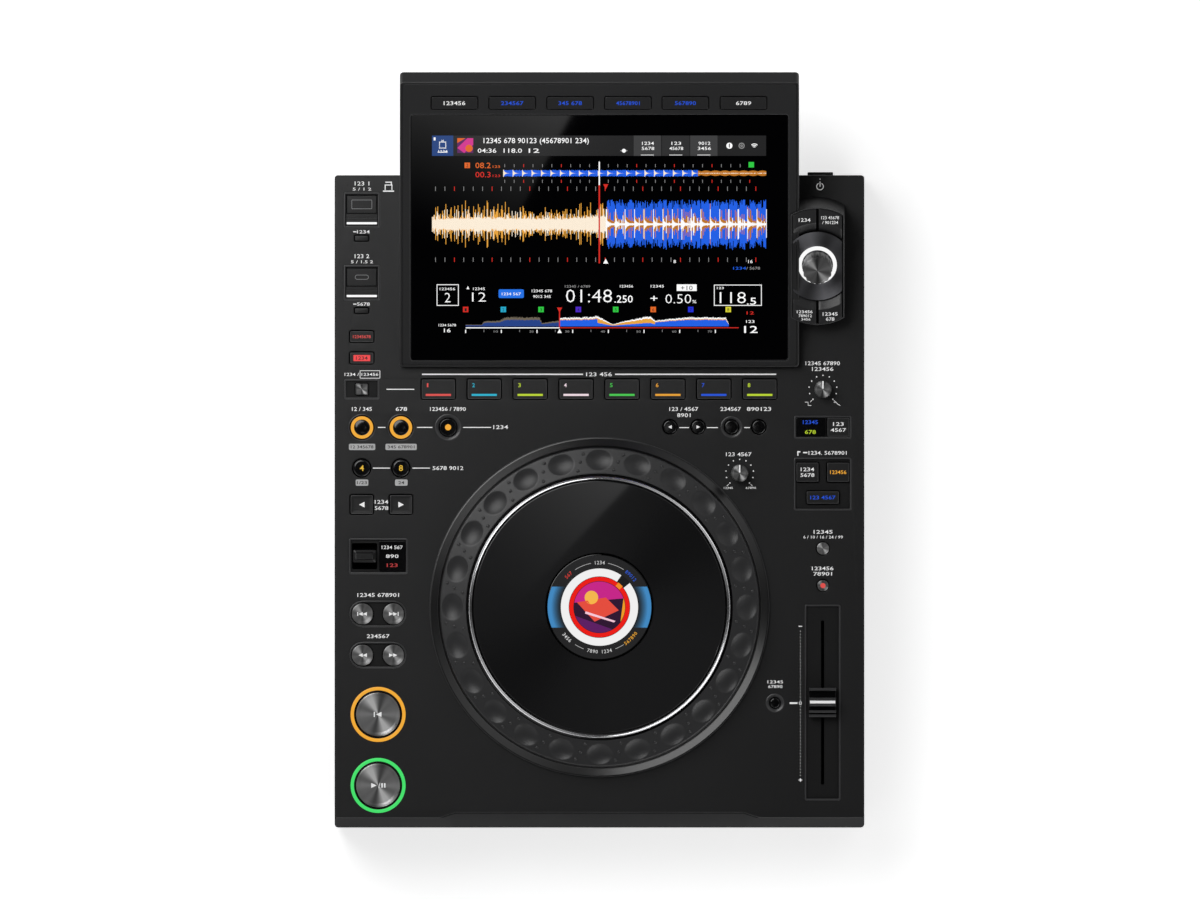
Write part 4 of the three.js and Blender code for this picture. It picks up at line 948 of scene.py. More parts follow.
def lightBox(left, right, low, high, color, order=1):
    light(boxesPart(*(np.asarray(edge) * mm for edge in (left, right, low, high)), *level(order)), color)


def lightWords(words, px, py, span, tall, color, order=2, align="CENTER", weight=0.0):
    # placed by the photo's pixels; the digits stand tall millimetres high
    x, y = fromPhoto(px, py)
    light(wordsPart(words, x, y, tall * mm / 0.71, *level(order), align, span=span * mm, weight=weight), color)


def lightPlate(points, color, order):
    light(platePart(np.array(points) * mm, *level(order)), color)


def lightFrame(left, right, low, high, width, color):
    lightBox([left, left, left, right - width], [right, right, left + width, right],
             [low, high - width, low, low], [low + width, high, high, high], color)


def buildWaves():
    random = np.random.default_rng(11)
    step, middle, half = screen["column"], screen["waveMiddle"], screen["waveHalf"]
    x = np.arange(screen["left"], screen["right"], step)
    before = x < screen["drop"]
    peak, lift, near = random.random(len(x)), random.random(len(x)), random.random(len(x))
    swell = 0.86 + 0.14 * np.sin(x / (13 * mm) + 1)
    share = np.clip((x - screen["left"]) / (screen["drop"] - screen["left"]), 0, 1)
    # before the mark: a pale core under quick spikes, every fourth or fifth of them tall
    core = half * (0.17 + 0.09 * share + 0.10 * lift)
    pale = np.maximum(core, half * (0.2 + 0.5 * near**3.5)) * swell
    spikes = np.maximum(pale, half * (0.26 + 0.72 * peak**2.6)) * swell
    # after it: a ragged wide band, a warm swelling on each beat and a white pulse at its start
    phase = ((x - screen["drop"]) / screen["beat"]) % 1
    wide = half * np.where(phase < 0.07, 0.55, 0.62 + 0.37 * peak**0.6)
    inner = half * (0.08 + 0.3 * np.exp(-2.6 * phase) + 0.5 * near**4)
    bright = half * np.where(phase < 0.08, 0.6, 0.035 + 0.26 * np.exp(-6 * phase) + 0.34 * lift**9)
    layers = (("amber", spikes, before, 1), ("cream", pale, before, 2), ("blue", wide, ~before, 1),
              ("orange", inner, ~before, 2), ("white", bright, ~before, 3))
    for color, reach, here, order in layers:
        down = reach * (0.88 + 0.16 * lift)
        bars = boxesPart(x[here], x[here] + step * 0.98, middle - down[here], middle + reach[here], *level(order))
        light(bars, color)

    # the small wave above
    x = np.arange(screen["smallLeft"], screen["right"], step)
    phase = ((x - screen["smallLeft"]) / screen["beat"]) % 1
    swell = np.abs(np.sin(math.pi * phase)) * 0.55 + 0.45
    late = x > 61 * mm
    reach = 2.1 * mm * np.where(late, 0.35 + 0.65 * swell, 0.75 + 0.25 * random.random(len(x)))
    for color, here, part in (("blue", ~late, 1.0), ("orange", late, 0.8), ("cream", ~late, None),
                              ("cream", late, 0.12)):
        tall = 2.2 * mm * np.exp(-7 * phase) if part is None else reach * part
        light(boxesPart(x[here], x[here] + step * 0.98, screen["smallMiddle"] - tall[here],
                        screen["smallMiddle"] + tall[here], *level(2 if part is None else 1)), color)

    # the overview of the whole tune: steps of loud and quiet
    x = np.arange(screen["overviewLeft"], screen["overviewRight"], step)
    share = (x - x[0]) / (x[-1] - x[0])
    plan = np.interp(share, [0, 0.06, 0.07, 0.13, 0.15, 0.28, 0.29, 0.355, 0.36, 0.47, 0.5, 0.56, 0.6, 0.7, 0.72, 0.85,
                             0.99, 1],
                     [1, 1, 3.2, 3.4, 5.6, 5.5, 2, 3.6, 5.4, 5.6, 6.4, 1.2, 3, 6.2, 3.5, 5.6, 5.2, 2]) * mm
    plan *= 0.92 + 0.16 * random.random(len(x))
    played = x < screen["played"]
    warm = (share > 0.5) & (share < 0.72)
    base = screen["overviewBase"]
    for here, color, part, order in ((played, "slate", 1.0, 1), (played, "slateBlue", 0.72, 2),
                                     (~played, "white", 1.0, 1),
                                     (~played & warm, "amber", 0.8, 2), (~played & ~warm, "amber", 0.84, 2),
                                     (~played & ~warm, "blue", 0.74, 3), (~played & warm, "blue", 0.35, 3)):
        light(boxesPart(x[here], x[here] + step * 0.98, base, base + plan[here] * part, *level(order)), color)


def buildTicks():
    beat = screen["beat"] / mm
    for first, last, y, tall in ((-102, 101, 162.2, 2.7), (-102, 101, 118.1, 2.7), (-59, 96, 176.5, 1.9),
                                 (-59, 96, 166.8, 1.9)):
        x = np.arange(first, last, beat)
        red = np.arange(len(x)) % 4 == 2
        lightBox(x[~red], x[~red] + 0.35, y - tall / 2, y + tall / 2, "grey")
        lightBox(x[red], x[red] + 0.45, y - tall / 2, y + tall / 2, "red")
    head = screen["head"] / mm
    lightBox(head - 0.4, head + 0.4, 164.5, 179.0, "white", 4)
    lightBox(head - 0.45, head + 0.45, 115.9, 164.5, "red", 5)
    drop = screen["drop"] / mm
    lightPlate([[drop - 1.6, 165], [drop, 161.9], [drop + 1.6, 165]], "red", 2)
    lightPlate([[drop - 1.6, 115.7], [drop + 1.6, 115.7], [drop, 118.7]], "white", 2)
    minutes = np.linspace(screen["overviewLeft"] / mm, 72, 8)
    for order, x in enumerate(minutes[1:], 1):
        lightWords(f"{order}0", (x - 3.4) * mm / photo["pixel"] + photo["middleX"], 331.5, 2.6, 1.3, "grey")
    lightBox(minutes - 0.3, minutes + 0.3, 72.6, 74.6, "white")
    lightBox(minutes[:-1] + 11.2, minutes[:-1] + 11.5, 73.2, 74.6, "grey")
    played = screen["played"] / mm
    lightBox(-83.1, played, 75.5, 76.1, "white", 2)
    lightBox(played, 86.5, 75.6, 76.1, "red", 2)
    lightBox(played - 0.35, played + 0.35, 76.1, 87.5, "red", 4)
    lightPlate([[played - 1.6, 88.4], [played, 85.2], [played + 1.6, 88.4]], "red", 4)
    lightPlate([[played - 1.4, 72.6], [played + 1.4, 72.6], [played, 75.2]], "white", 4)


def buildReadouts():
    left, right, top, low = -104.0, 103.5, 195.2, 182.6
    lightBox(left, right, low, top, "bar", 0)
    lightBox(left, -90.8, low, top, "navy")
    lightFrame(-99.6, -95.2, 187.2, 191.4, 0.5, "white")
    lightBox(-98.2, -96.6, 191.4, 192.6, "white")
    lightBox([-100.5], [-94.3], [184.6], [185.2], "white")
    # a small picture of three crossing shapes
    lightBox(-88.3, -78.4, 184.4, 193.6, "plum")
    lightPlate([[-88.3, 187.5], [-84, 184.4], [-78.4, 189.5], [-78.4, 193.6], [-82, 193.6]], "pink", 2)
    light(platePart(moved(circleOutline(2.3 * mm, 20), -81 * mm, 187.3 * mm), *level(3)), "orangeTag")
    lightPlate([[-88.3, 190.6], [-83.2, 193.6], [-88.3, 193.6]], "orangeTag", 3)
    light(arcPart(15.2 * mm, 185.8 * mm, 0.1 * mm, 1.2 * mm, 0, 359.9, *level(2)), "white")
    lightPlate([[12.8, 185.8], [15.2, 184.6], [17.6, 185.8], [15.2, 187.0]], "grey", 1)
    for order, (start, color) in enumerate(((21.3, "tab"), (38.9, "tabDark"), (56.4, "tab"))):
        lightBox(start, start + 16.9, low, top, color)
        lightBox(start + 4.4, start + 12.5, 183.0, 183.3, "white", 2)
    light(platePart(moved(circleOutline(1.9 * mm, 24), 80.7 * mm, 188.9 * mm), *level(2)), "white")
    lightBox(80.4, 81.0, 187.8, 190.2, "bar", 3)
    light(arcPart(88.3 * mm, 188.9 * mm, 1.3 * mm, 1.9 * mm, 0, 359.9, *level(2)), "grey")
    light(arcPart(88.3 * mm, 188.9 * mm, 0.3 * mm, 0.8 * mm, 0, 359.9, *level(2)), "grey")
    for reach in (0.9, 1.8, 2.7):
        light(arcPart(96.2 * mm, 187.4 * mm, (reach - 0.3) * mm, (reach + 0.2) * mm, 45, 135, *level(2), 10), "white")
    lightBox(-83.8, -80.4, 175.0, 178.4, "orangeTag")
    lightBox(92.6, 96.0, 175.4, 178.8, "green", 3)
    lightFrame(-101.1, -87.4, 89.5, 102.8, 0.45, "white")
    lightPlate([[-82.6, 99.8], [-80.8, 99.8], [-81.7, 101.8]], "white", 2)
    light(platePart(moved(rectangleOutline(15.7 * mm, 5.4 * mm, 0.9 * mm), -54.8 * mm, 97.0 * mm), *level(1)), "pill")
    lightBox(48.0, 60.4, 98.7, 102.8, "white")
    lightFrame(71.1, 100.8, 89.5, 102.6, 0.45, "white")
    tags = zip((-83.1, -59.7, -36.3, -13.1, 10.1, 33.4, 56.7, 80.0),
               ("red", "cyan", "green", "purple", "green", "orangeTag", "deepBlue", "yellow"))
    for order, (x, color) in enumerate(tags, 1):
        lightBox(x - 1.7, x + 1.7, 85.5, 88.9, color)
        lightWords(str(order), x * mm / photo["pixel"] + photo["middleX"], 309.7, 1.3, 2.0, "bar", 3)
    for words, px, py, span, tall, *color in screenWords:
        lightWords(words, px, py, span, tall, *(color or ["white"]), 3, weight=-0.012 if tall > 5 else 0.004)


buildWaves()
buildTicks()
buildReadouts()
addParts("screenLights", screenParts, "screen", faceOver, tints=screenTints)
print("screen made")

# Jog wheel

jog = {
    "dimples": 24, "turnSteps": 960, "dotLean": (1.5, 0.0, -1.5),
    **inMm(
        outer=105.6, lipTop=1.5, slope=(4.2, 2.95), shoulder=99.1, inner=82.8, shoulderRise=11.4, innerRise=14.6,
        lift=0.6, dimpleRadius=91.3, dimpleWidth=16.1, dimpleLength=12.9, dimpleDepth=1.75, trimOuter=81.3,
        trimInner=79.0, trimRise=15.6, platterOuter=78.3, platterRise=15.2, platterInner=33.4, dotRadius=1.15,
        dotRise=0.75, dotRings=(85.4, 90.7, 95.5), deepest=3,
    ),
}


def gripHeight(radius):
    # the ring rises evenly from its shoulder to its inner edge
    share = (jog["shoulder"] - radius) / (jog["shoulder"] - jog["inner"])
    return jog["shoulderRise"] + (jog["innerRise"] - jog["shoulderRise"]) * share


def buildJogSkirt(spot):
    # a small lip at the foot, a glossy even slope, then a steep wall up to the shoulder
    outer, lip = jog["outer"], jog["lipTop"]
    rows = [(jog["shoulder"] - 5 * mm, jog["lift"]), (outer - 0.4 * mm, jog["lift"]), (outer, jog["lift"] + 0.35 * mm),
            (outer - 0.15 * mm, lip - 0.15 * mm), (outer - 0.55 * mm, lip), (outer - 0.9 * mm, lip)]
    slope, climb = jog["slope"]
    rows += [(outer - 0.9 * mm - slope * t, lip + climb * t) for t in (0.05, 0.5, 0.95, 1.0)]
    foot, top = outer - 0.9 * mm - slope, jog["shoulderRise"] - 0.9 * mm
    rows += [(foot - 0.4 * mm, lip + climb + 0.5 * mm), (foot - 0.75 * mm, lip + climb + 1.5 * mm),
             (jog["shoulder"] + 0.25 * mm, top - 1.6 * mm), (jog["shoulder"], top)]
    rows += [(jog["shoulder"] - 2 * mm, jog["shoulderRise"] - 1.2 * mm),
             (jog["shoulder"] - 5 * mm, jog["shoulderRise"] - 3 * mm)]
    piece = addPiece("jogSkirt", latheMesh("jogSkirt", rows, spot, 288, angle=38), "rim", "jog_wheel")
    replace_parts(piece, "jog_wheel")
    # a light line on the skirt's lip: a painted highlight
    line = bandProfile(outer - 0.45 * mm, outer - 0.02 * mm, lip - 0.7 * mm, lip + 0.1 * mm, 0.12 * mm)
    addTurned("jogSkirtHighlightLine", line, spot, 288, "trim", "jog_wheel")


def buildJogGrip(spot):
    # the grip ring: a cone whose height drops by a bowl inside each oval
    radii = np.linspace(jog["shoulder"] - 0.8 * mm, jog["inner"] + 0.5 * mm, 36)
    angles = fullTurn(jog["turnSteps"])
    radius, angle = np.meshgrid(radii, angles, indexing="ij")
    pitch = 2 * math.pi / jog["dimples"]
    away = (angle + pitch / 2) % pitch - pitch / 2
    across = jog["dimpleRadius"] * away / (jog["dimpleWidth"] / 2)
    along = (radius - jog["dimpleRadius"]) / (jog["dimpleLength"] / 2)
    reach = np.sqrt(across**2 + along**2)
    height = gripHeight(radius) - jog["dimpleDepth"] * np.clip(1 - reach**2.2, 0, None)
    top = turnedRing(radius, angle, height)

    def plainRows(rows):
        return [turnedRing(r, angles, z) for r, z in rows]

    shoulder, rise = jog["shoulder"], jog["shoulderRise"]
    outside = plainRows([(shoulder - 1 * mm, rise - jog["deepest"]), (shoulder, rise - 1.3 * mm),
                         (shoulder - 0.05 * mm, rise - 0.75 * mm), (shoulder - 0.3 * mm, rise - 0.15 * mm)])
    inside = plainRows([(jog["inner"] + 0.15 * mm, jog["innerRise"] - 0.1 * mm),
                        (jog["inner"], jog["innerRise"] - 0.5 * mm),
                        (jog["inner"], jog["innerRise"] - jog["deepest"])])
    mesh = ringsMesh("jogGrip", outside + list(top) + inside, spot, closed=True, angle=50)
    addPiece("jogGrip", mesh, "grip", "jog_wheel")


def buildJogDots(spot):
    # three small dots between neighbouring ovals, each a low dome with a flat foot
    ring = fullTurn(9)
    shares = np.array([1.0, 0.88, 0.6, 0.0])
    size, rise = jog["dotRadius"] * shares, jog["dotRise"] * np.sqrt(1 - shares**2)
    parts = []
    for index in range(jog["dimples"]):
        for dotRadius, lean in zip(jog["dotRings"], jog["dotLean"]):
            turn = 2 * math.pi * (index + 0.5) / jog["dimples"] + math.radians(lean)
            x = dotRadius * math.cos(turn) + size[:, None] * np.cos(ring)
            y = dotRadius * math.sin(turn) + size[:, None] * np.sin(ring)
            z = np.repeat((gripHeight(dotRadius) + rise - 0.15 * mm)[:, None], 9, 1)
            count = np.arange(36).reshape(4, 9)
            faces = quadGrid(np.concatenate([count, count[:, :1]], 1)).tolist() + [count[0, ::-1].tolist()]
            parts.append((np.stack([x, y, z], -1).reshape(-1, 3), faces))
    piece = addParts("jogGripDots", parts, "grip", spot, "jog_wheel")
    tidyMesh(piece.data, 60)


def buildJogPlatter(spot):
    groove = bandProfile(jog["trimInner"] - 0.7 * mm, jog["inner"] + 0.1 * mm, jog["platterRise"] - 5 * mm,
                         jog["platterRise"] - 1.7 * mm, 0.1 * mm)
    addTurned("jogGroove", groove, spot, 192, "gloss", "jog_wheel")
    inner, outer, rise = jog["trimInner"], jog["trimOuter"], jog["trimRise"]
    middle = (inner + outer) / 2
    trim = [(inner, rise - 3.5 * mm), (outer, rise - 3.5 * mm), (outer, rise - 1.15 * mm),
            (outer - 0.1 * mm, rise - 1.0 * mm),
            (middle + 0.1 * mm, rise - 0.04 * mm), (middle, rise), (middle - 0.1 * mm, rise - 0.04 * mm),
            (inner + 0.1 * mm, rise - 1.0 * mm), (inner, rise - 1.15 * mm)]
    addPiece("jogTrimRing", latheMesh("jogTrimRing", trim, spot, 360, angle=50), "silver", "jog_wheel")
    # the platter: a flat glossy disc over fine turned rings, with a painted sheen in broad wedges in its colour
    rise, inner, outer = jog["platterRise"], jog["platterInner"], jog["platterOuter"]
    radii = np.linspace(outer - 0.5 * mm, inner + 0.4 * mm, 24)
    rows = [(outer, rise - jog["deepest"]), (outer, rise - 0.4 * mm), *((r, rise) for r in radii),
            (inner, rise - 0.4 * mm), (inner, rise - jog["deepest"])]
    face = spunMaterial("platterPaintedSheen", spot.translation, "#1a1a1b", "#030304", -0.9, 0.25, 0.5, 0.0, 1.25 * mm)
    shader = face.node_tree.nodes["Principled BSDF"]
    setInputs(face.node_tree, shader, {"Coat Weight": 1.0, "Coat Roughness": 0.03, "Specular IOR Level": 0.1})
    addTurned("jogPlatter", rows, spot, 240, face, "jog_wheel")


jogSpot = deckSpotOf("jog_wheel")
buildJogSkirt(jogSpot)
buildJogGrip(jogSpot)
buildJogDots(jogSpot)
buildJogPlatter(jogSpot)
print("jog wheel made")

# Jog display: a fixed round screen in the middle of the wheel

dial = {
    "gapAngle": 47,
    **inMm(
        radius=32.9, rise=16.1, lobeInner=24.2, lobeOuter=32.2, lobeHalf=12.7, whiteInner=19.1, whiteOuter=24.0,
        redOuter=18.8, redInner=16.2, art=15.9, wordRing=27.7, wordTall=2.2, floor=0.01, layer=0.015,
    ),
}
# digits set along the ring: text, middle angle, colour; and the thin arcs between them
dialWords = (
    ("1234", 90, "#c8c8c8"), ("567", 134, "#d23a32"), ("89012", 45, "#2a56c8"), ("3456", 223, "#d8d8d8"),
    ("7890 1234", 270, "#c8c8c8"), ("567890", 315, "#e0a030"),
)
dialArcs = ((57, 79), (101, 123), (237, 249), (291, 303))


def buildDial():
    spot = deckSpotOf("jog_display")
    rise, radius = dial["rise"], dial["radius"]
    rows = [(radius, rise - 6 * mm), (radius, rise - 0.7 * mm), (radius - 0.2 * mm, rise - 0.2 * mm),
            (radius - 0.7 * mm, rise), (radius - 3 * mm, rise)]
    drum = latheMesh("jogDial", rows, spot, 128, closed=False)
    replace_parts(addPiece("jogDial", drum, "glass", "chassis", True), "jog_display")
    parts, tints = [], []

    def draw(part, color):
        parts.append(part)
        tints.append(color)

    def height(order):
        return dial["floor"], dial["floor"] + dial["layer"] * (order + 1)

    def ring(inner, outer, fromAngle, toAngle, color, order=0, steps=64):
        draw(arcPart(0, 0, inner, outer, fromAngle, toAngle, *height(order), steps), color)

    def field(first, last, steps, order, color):
        # the part of the picture's circle beyond a straight cut
        angles = np.radians(np.linspace(first, last, steps))
        draw(platePart(np.stack([art * np.cos(angles), art * np.sin(angles)], -1), *height(order)), color)

    art = dial["art"]
    ring(1 * mm, dial["lobeOuter"], 0, 359.9, "#1d1d1e", 0, 120)
    for side in (0, 180):
        for k in range(10):  # each lobe, cut off level above and below, brightens outwards
            inner = dial["lobeInner"] + (dial["lobeOuter"] - dial["lobeInner"]) * k / 10
            lean = math.degrees(math.asin(dial["lobeHalf"] / (inner + 0.4 * mm)))
            glow = min(1.0, 0.12 + 0.13 * k)
            color = "#%02x%02x%02x" % tuple(int(22 + (c - 22) * glow) for c in (62, 134, 190))
            ring(inner, inner + 0.81 * mm, side - lean, side + lean, color, 1, 24)
    gap = dial["gapAngle"]
    ring(dial["whiteInner"] - 0.35 * mm, dial["whiteOuter"] + 0.3 * mm, 0, 359.9, "#101011", 1, 120)
    ring(dial["whiteInner"], dial["whiteOuter"], gap + 8.5, gap + 351.5, "#efefef", 2, 120)
    ring(dial["redInner"], dial["redOuter"], 0, 359.9, "#ea1208", 2, 120)
    ring(dial["redInner"] + 0.3 * mm, dial["redOuter"] + 0.5 * mm, gap - 5.5, gap + 5.5, "#f08a1e", 3, 8)
    # the picture: a round field cut by slanting shapes
    draw(platePart(circleOutline(art, 64), *height(1)), "#2a0a2c")
    field(20, 170, 24, 2, "#c41f86")
    field(-35, 20, 16, 3, "#f09a1e")
    draw(platePart(np.array([[-14, 3], [-3, -9], [12, -2], [4, 6]]) * mm, *height(4)), "#e34a3a")
    draw(platePart(moved(circleOutline(4.2 * mm, 32), -5 * mm, 6 * mm), *height(4)), "#f2b54a")
    field(200, 300, 20, 3, "#5a1660")
    draw(platePart(np.array([[-9, -4], [9, -9.5], [10, -8.6], [-8.6, -2.6]]) * mm, *height(5)), "#f6c9d8")
    # thin arcs and digits between the lobes
    for start, stop in dialArcs:
        ring(dial["wordRing"] - 0.15 * mm, dial["wordRing"] + 0.15 * mm, start, stop, "#b4b4b4", 1, 12)
    pitch = math.degrees(1.75 * mm / dial["wordRing"])
    for digits, angle, color in dialWords:
        way = -1 if angle < 180 else 1
        for order, digit in enumerate(digits):
            turn = math.radians(angle + way * pitch * (order - (len(digits) - 1) / 2))
            x, y = dial["wordRing"] * math.cos(turn), dial["wordRing"] * math.sin(turn)
            if digit != " ":
                draw(wordsPart(digit, x, y, dial["wordTall"] / 0.71, *height(2), turn=turn + way * math.pi / 2), color)
    top = spotAt(spot.translation.x, spot.translation.y, deckTop + rise)
    addParts("jogDialLights", parts, "screen", top, tints=tints)


buildDial()
print("jog display made")

# Keys on the deck

# rise, edge and dish in millimetres, and the material of each family of keys
keyFinish = {
    "bar": (0.6, 0.3, 0.0, "key"), "bank": (0.7, 0.5, 0.15, "spun"), "pad": (0.8, 0.35, 0.0, "pad"),
    "loop": (1.2, 0.5, 0.0, "gloss"), "loopExit": (1.0, 0.6, 0.0, "gloss"), "beat": (1.6, 1.4, 0.0, "gloss"),
    "jump": (0.9, 0.4, 0.2, "key"), "seek": (1.2, 0.5, 0.25, "spun"), "transport": (2.2, 0.6, 0.35, "spun"),
    "call": (1.1, 0.9, 0.0, "gloss"), "mode": (0.6, 0.3, 0.0, "key"), "sync": (0.6, 0.3, 0.0, "key"),
    "keySync": (0.6, 0.3, 0.0, "key"), "range": (0.9, 0.4, 0.2, "spun"), "tempo": (0.9, 0.4, 0.2, "spun"),
    "reset": (0.9, 0.7, 0.0, "gloss"),
}
keyFinish = {family: dict(zip(("rise", "edge", "dish", "material"), row)) for family, row in keyFinish.items()}
# painted glints of the spun keys: bright and dark tones, the glints' angle and their sharpness
spunPaintedGlintTones = {
    "bank": ("#c0c0c0", "#101011", -0.9, 3.0),
    "seek": ("#b8b8b8", "#0e0e0f", -0.85, 1.5),
    "transport": ("#d8d8d8", "#242425", 2.05, 2.0),
    "range": ("#c8c8c8", "#0c0c0c", -0.8, 1.4),
    "tempo": ("#a8a8a8", "#0c0808", -0.8, 1.4),
}


def buildKeys():
    for node, family in familyOf.items():
        finish = keyFinish[family]
        spot = deckSpotOf(node)
        profile = capProfile(-2.4 * mm, finish["rise"] * mm, finish["edge"] * mm, finish["dish"] * mm)
        mesh = capMesh(node + "Cap", keyShapes[family], profile, spot)
        # spun keys get their glints painted into their colour
        if finish["material"] == "spun":
            bright, dark, turn, sharpness = spunPaintedGlintTones[family]
            material = spunMaterial(node + "PaintedGlints", spot.translation, bright, dark, turn, sharpness)
        else:
            material = finish["material"]
        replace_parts(addPiece(node + "Cap", mesh, material, node, True), node)
        if "width" in keyShapes[family]:
            # a light line along the brow of each square key: a painted highlight on its edge
            rim = [outlineOf(keyShapes[family], inset * mm) for inset in (0.2, 0.6)]
            low, high = (finish["rise"] - 0.5) * mm, (finish["rise"] + 0.03) * mm
            line = sheetMesh(node + "Brow", rim, low, high, 0.1 * mm, spot)
            addPiece(node + "Brow", line, "trim", node, True)


buildKeys()
print("keys made")

# Marks printed on the keys, and light that shines through them

mark = (-0.05 * mm, 0.03 * mm)  # print sinks in a little and stands out a little
padColors = ["ledRed", "ledCyan", "ledLime", "ledPink", "padGreen", "ledOrange", "ledBlue", "ledLime"]
# digits in place of each legend: text, place from the key's middle, width and height in millimetres, colour
keyWords = {
    "quantize_key": [("12345678", 0, 0, 11.0, 1.9, "ledRed")],
    "beat_four_key": [("4", 0, 0, 2.6, 3.6, "ledYellow")],
    "beat_eight_key": [("8", 0, 0, 2.5, 3.6, "ledYellow")],
    "jog_mode_key": [("123", 0, 1.9, 6.7, 2.3, "white"), ("4567", 0, -1.8, 9.5, 2.3, "white")],
    "beat_sync_key": [("1234", 0, 1.75, 8.4, 2.3, "white"), ("5678", 0, -1.75, 8.6, 2.3, "white")],
    "master_key": [("123456", 0, 0, 10.1, 2.3, "ledAmber")],
    "key_sync_key": [("123 4567", 0, 0, 15.6, 2.3, "ledBlue")],
}
displayWords = (("123456", 13.5, "white"), ("234567", 14.0, "ledBlue"), ("345 678", 14.6, "ledBlue"),
                ("45678901", 14.6, "ledBlue"), ("567890", 13.1, "ledBlue"), ("6789", 9.5, "white"))


def keyMarks(node, name, parts, material, lift=0.0):
    family = familyOf.get(node)
    rise = (keyFinish[family]["rise"] - keyFinish[family]["dish"]) * mm + lift
    spot = deckSpotOf(node) @ spotAt(0, 0, rise)
    addParts(node + name, parts, material, spot, node)


def plate(outline):
    return platePart(np.asarray(outline) * mm, *mark)


def box(left, right, low, high):
    return plate([[left, low], [right, low], [right, high], [left, high]])


def words(text, x, y, span, tall):
    return wordsPart(text, x * mm, y * mm, tall * mm / 0.71, *mark, span=span * mm)


def triangle(x, y, width, height):
    # points to the right, or to the left where the width is negative
    half = height / 2
    points = [[x - width / 2, y - half], [x + width / 2, y], [x - width / 2, y + half]]
    return plate(points if width > 0 else points[::-1])


def buildKeyMarks():
    for order, color in enumerate(padColors, 1):
        node = f"pad_{order}"
        keyMarks(node, "Light", [box(-7.9, 7.8, -4.2, -2.9)], color)
        keyMarks(node, "Number", [words(str(order), -6.7, 2.5, 1.7 if order > 1 else 0.9, 2.5)], color)
    for node, lines in keyWords.items():
        for order, (digits, x, y, span, tall, color) in enumerate(lines):
            keyMarks(node, "Number" + "AB"[order], [words(digits, x, y, span, tall)], color)
    keyMarks("slip_key", "Light", [box(-5.2, 5.2, -1.9, 1.9)], "slipRed")
    keyMarks("slip_key", "Number", [words("1234", 0, 0, 7.2, 2.1)], "darkPrint", 0.04 * mm)
    dome = [(4.95, -0.3), (4.95, 0.1), (4.7, 0.3), (4.1, 0.5), (3, 0.68), (1.6, 0.78), (0.5, 0.8)]
    for node in ("loop_in_key", "loop_out_key"):
        ring = arcPart(0, 0, 4.9 * mm, 6.95 * mm, 0, 359.99, mark[0], 0.1 * mm, 65)
        keyMarks(node, "Light", [ring], "ledAmber")
        top = deckSpotOf(node) @ spotAt(0, 0, keyFinish["loop"]["rise"] * mm)
        button = latheMesh(node + "Dome", [(r * mm, z * mm) for r, z in dome], top, 48, closed=False)
        addPiece(node + "Dome", button, "gloss", node)
    dot = [platePart(circleOutline(1.9 * mm, 32), mark[0], 0.12 * mm)]
    keyMarks("loop_exit_key", "Light", dot, "ledAmber")
    keyMarks("beat_jump_back_key", "Arrow", [triangle(0, 0, -3.4, 3.6)], "white")
    keyMarks("beat_jump_ahead_key", "Arrow", [triangle(0, 0, 3.4, 3.6)], "white")
    twin = [triangle(-1.5, 0, 2.6, 2.4), triangle(1.1, 0, 2.6, 2.4)]
    twinBack = [triangle(1.5, 0, -2.6, 2.4), triangle(-1.1, 0, -2.6, 2.4)]
    keyMarks("search_ahead_key", "Arrows", twin, "white")
    keyMarks("search_back_key", "Arrows", twinBack, "white")
    keyMarks("track_ahead_key", "Arrows", [*twin, box(2.6, 3.2, -1.2, 1.2)], "white")
    keyMarks("track_back_key", "Arrows", [*twinBack, box(-3.2, -2.6, -1.2, 1.2)], "white")
    keyMarks("cue_button", "Mark", [box(-2.7, -2.0, -1.6, 1.6), triangle(0.4, 0, -3.4, 3.2)], "white")
    play = [triangle(-2.6, 0, 3.4, 3.2), box(2.0, 2.9, -1.4, 1.4), box(3.7, 4.6, -1.4, 1.4),
            plate([[0.2, -1.6], [0.6, -1.6], [1.4, 1.6], [1.0, 1.6]])]
    keyMarks("play_button", "Mark", play, "white")
    keyMarks("call_back_key", "Arrow", [triangle(-0.1, 0, -2.2, 2.2)], "white")
    keyMarks("call_ahead_key", "Arrow", [triangle(0.1, 0, 2.2, 2.2)], "white")
    keyMarks("master_tempo_key", "Light", [platePart(circleOutline(1.6 * mm, 24), mark[0], 0.1 * mm)], "ledRed")
    for node, (digits, span, color) in zip(displayKeys, displayWords):
        spot = faceSpotOf(node) @ spotAt(0, 0, display["keyRise"])
        addParts(node + "Number", [words(digits, 0, 0, span, 2.5)], color, spot, node)


buildKeyMarks()
print("key marks made")

# Rings of light round the cue and play buttons

halo = inMm(outer=17.1, inner=14.95, rise=0.55, edge=0.5, collar=13.95)


def buildHalos():
    for node, color in (("cue_button", "ledAmber"), ("play_button", "ledGreen")):
        spot = deckSpotOf(node)
        band = bandProfile(halo["inner"], halo["outer"], -0.3 * mm, halo["rise"], halo["edge"])
        addTurned(node + "Halo", band, spot, 96, color, "chassis")
        collar = bandProfile(halo["collar"], halo["inner"] + 0.1 * mm, -0.3 * mm, 0.3 * mm, 0.2 * mm)
        addTurned(node + "Collar", collar, spot, 96, "gloss", "chassis")


buildHalos()

# Print on the deck: lines, numbers and small signs


def deckMarks(name, parts, material="white", lift=0.0):
    addParts(name, parts, material, spotAt(0, 0, deckTop + lift), "chassis")


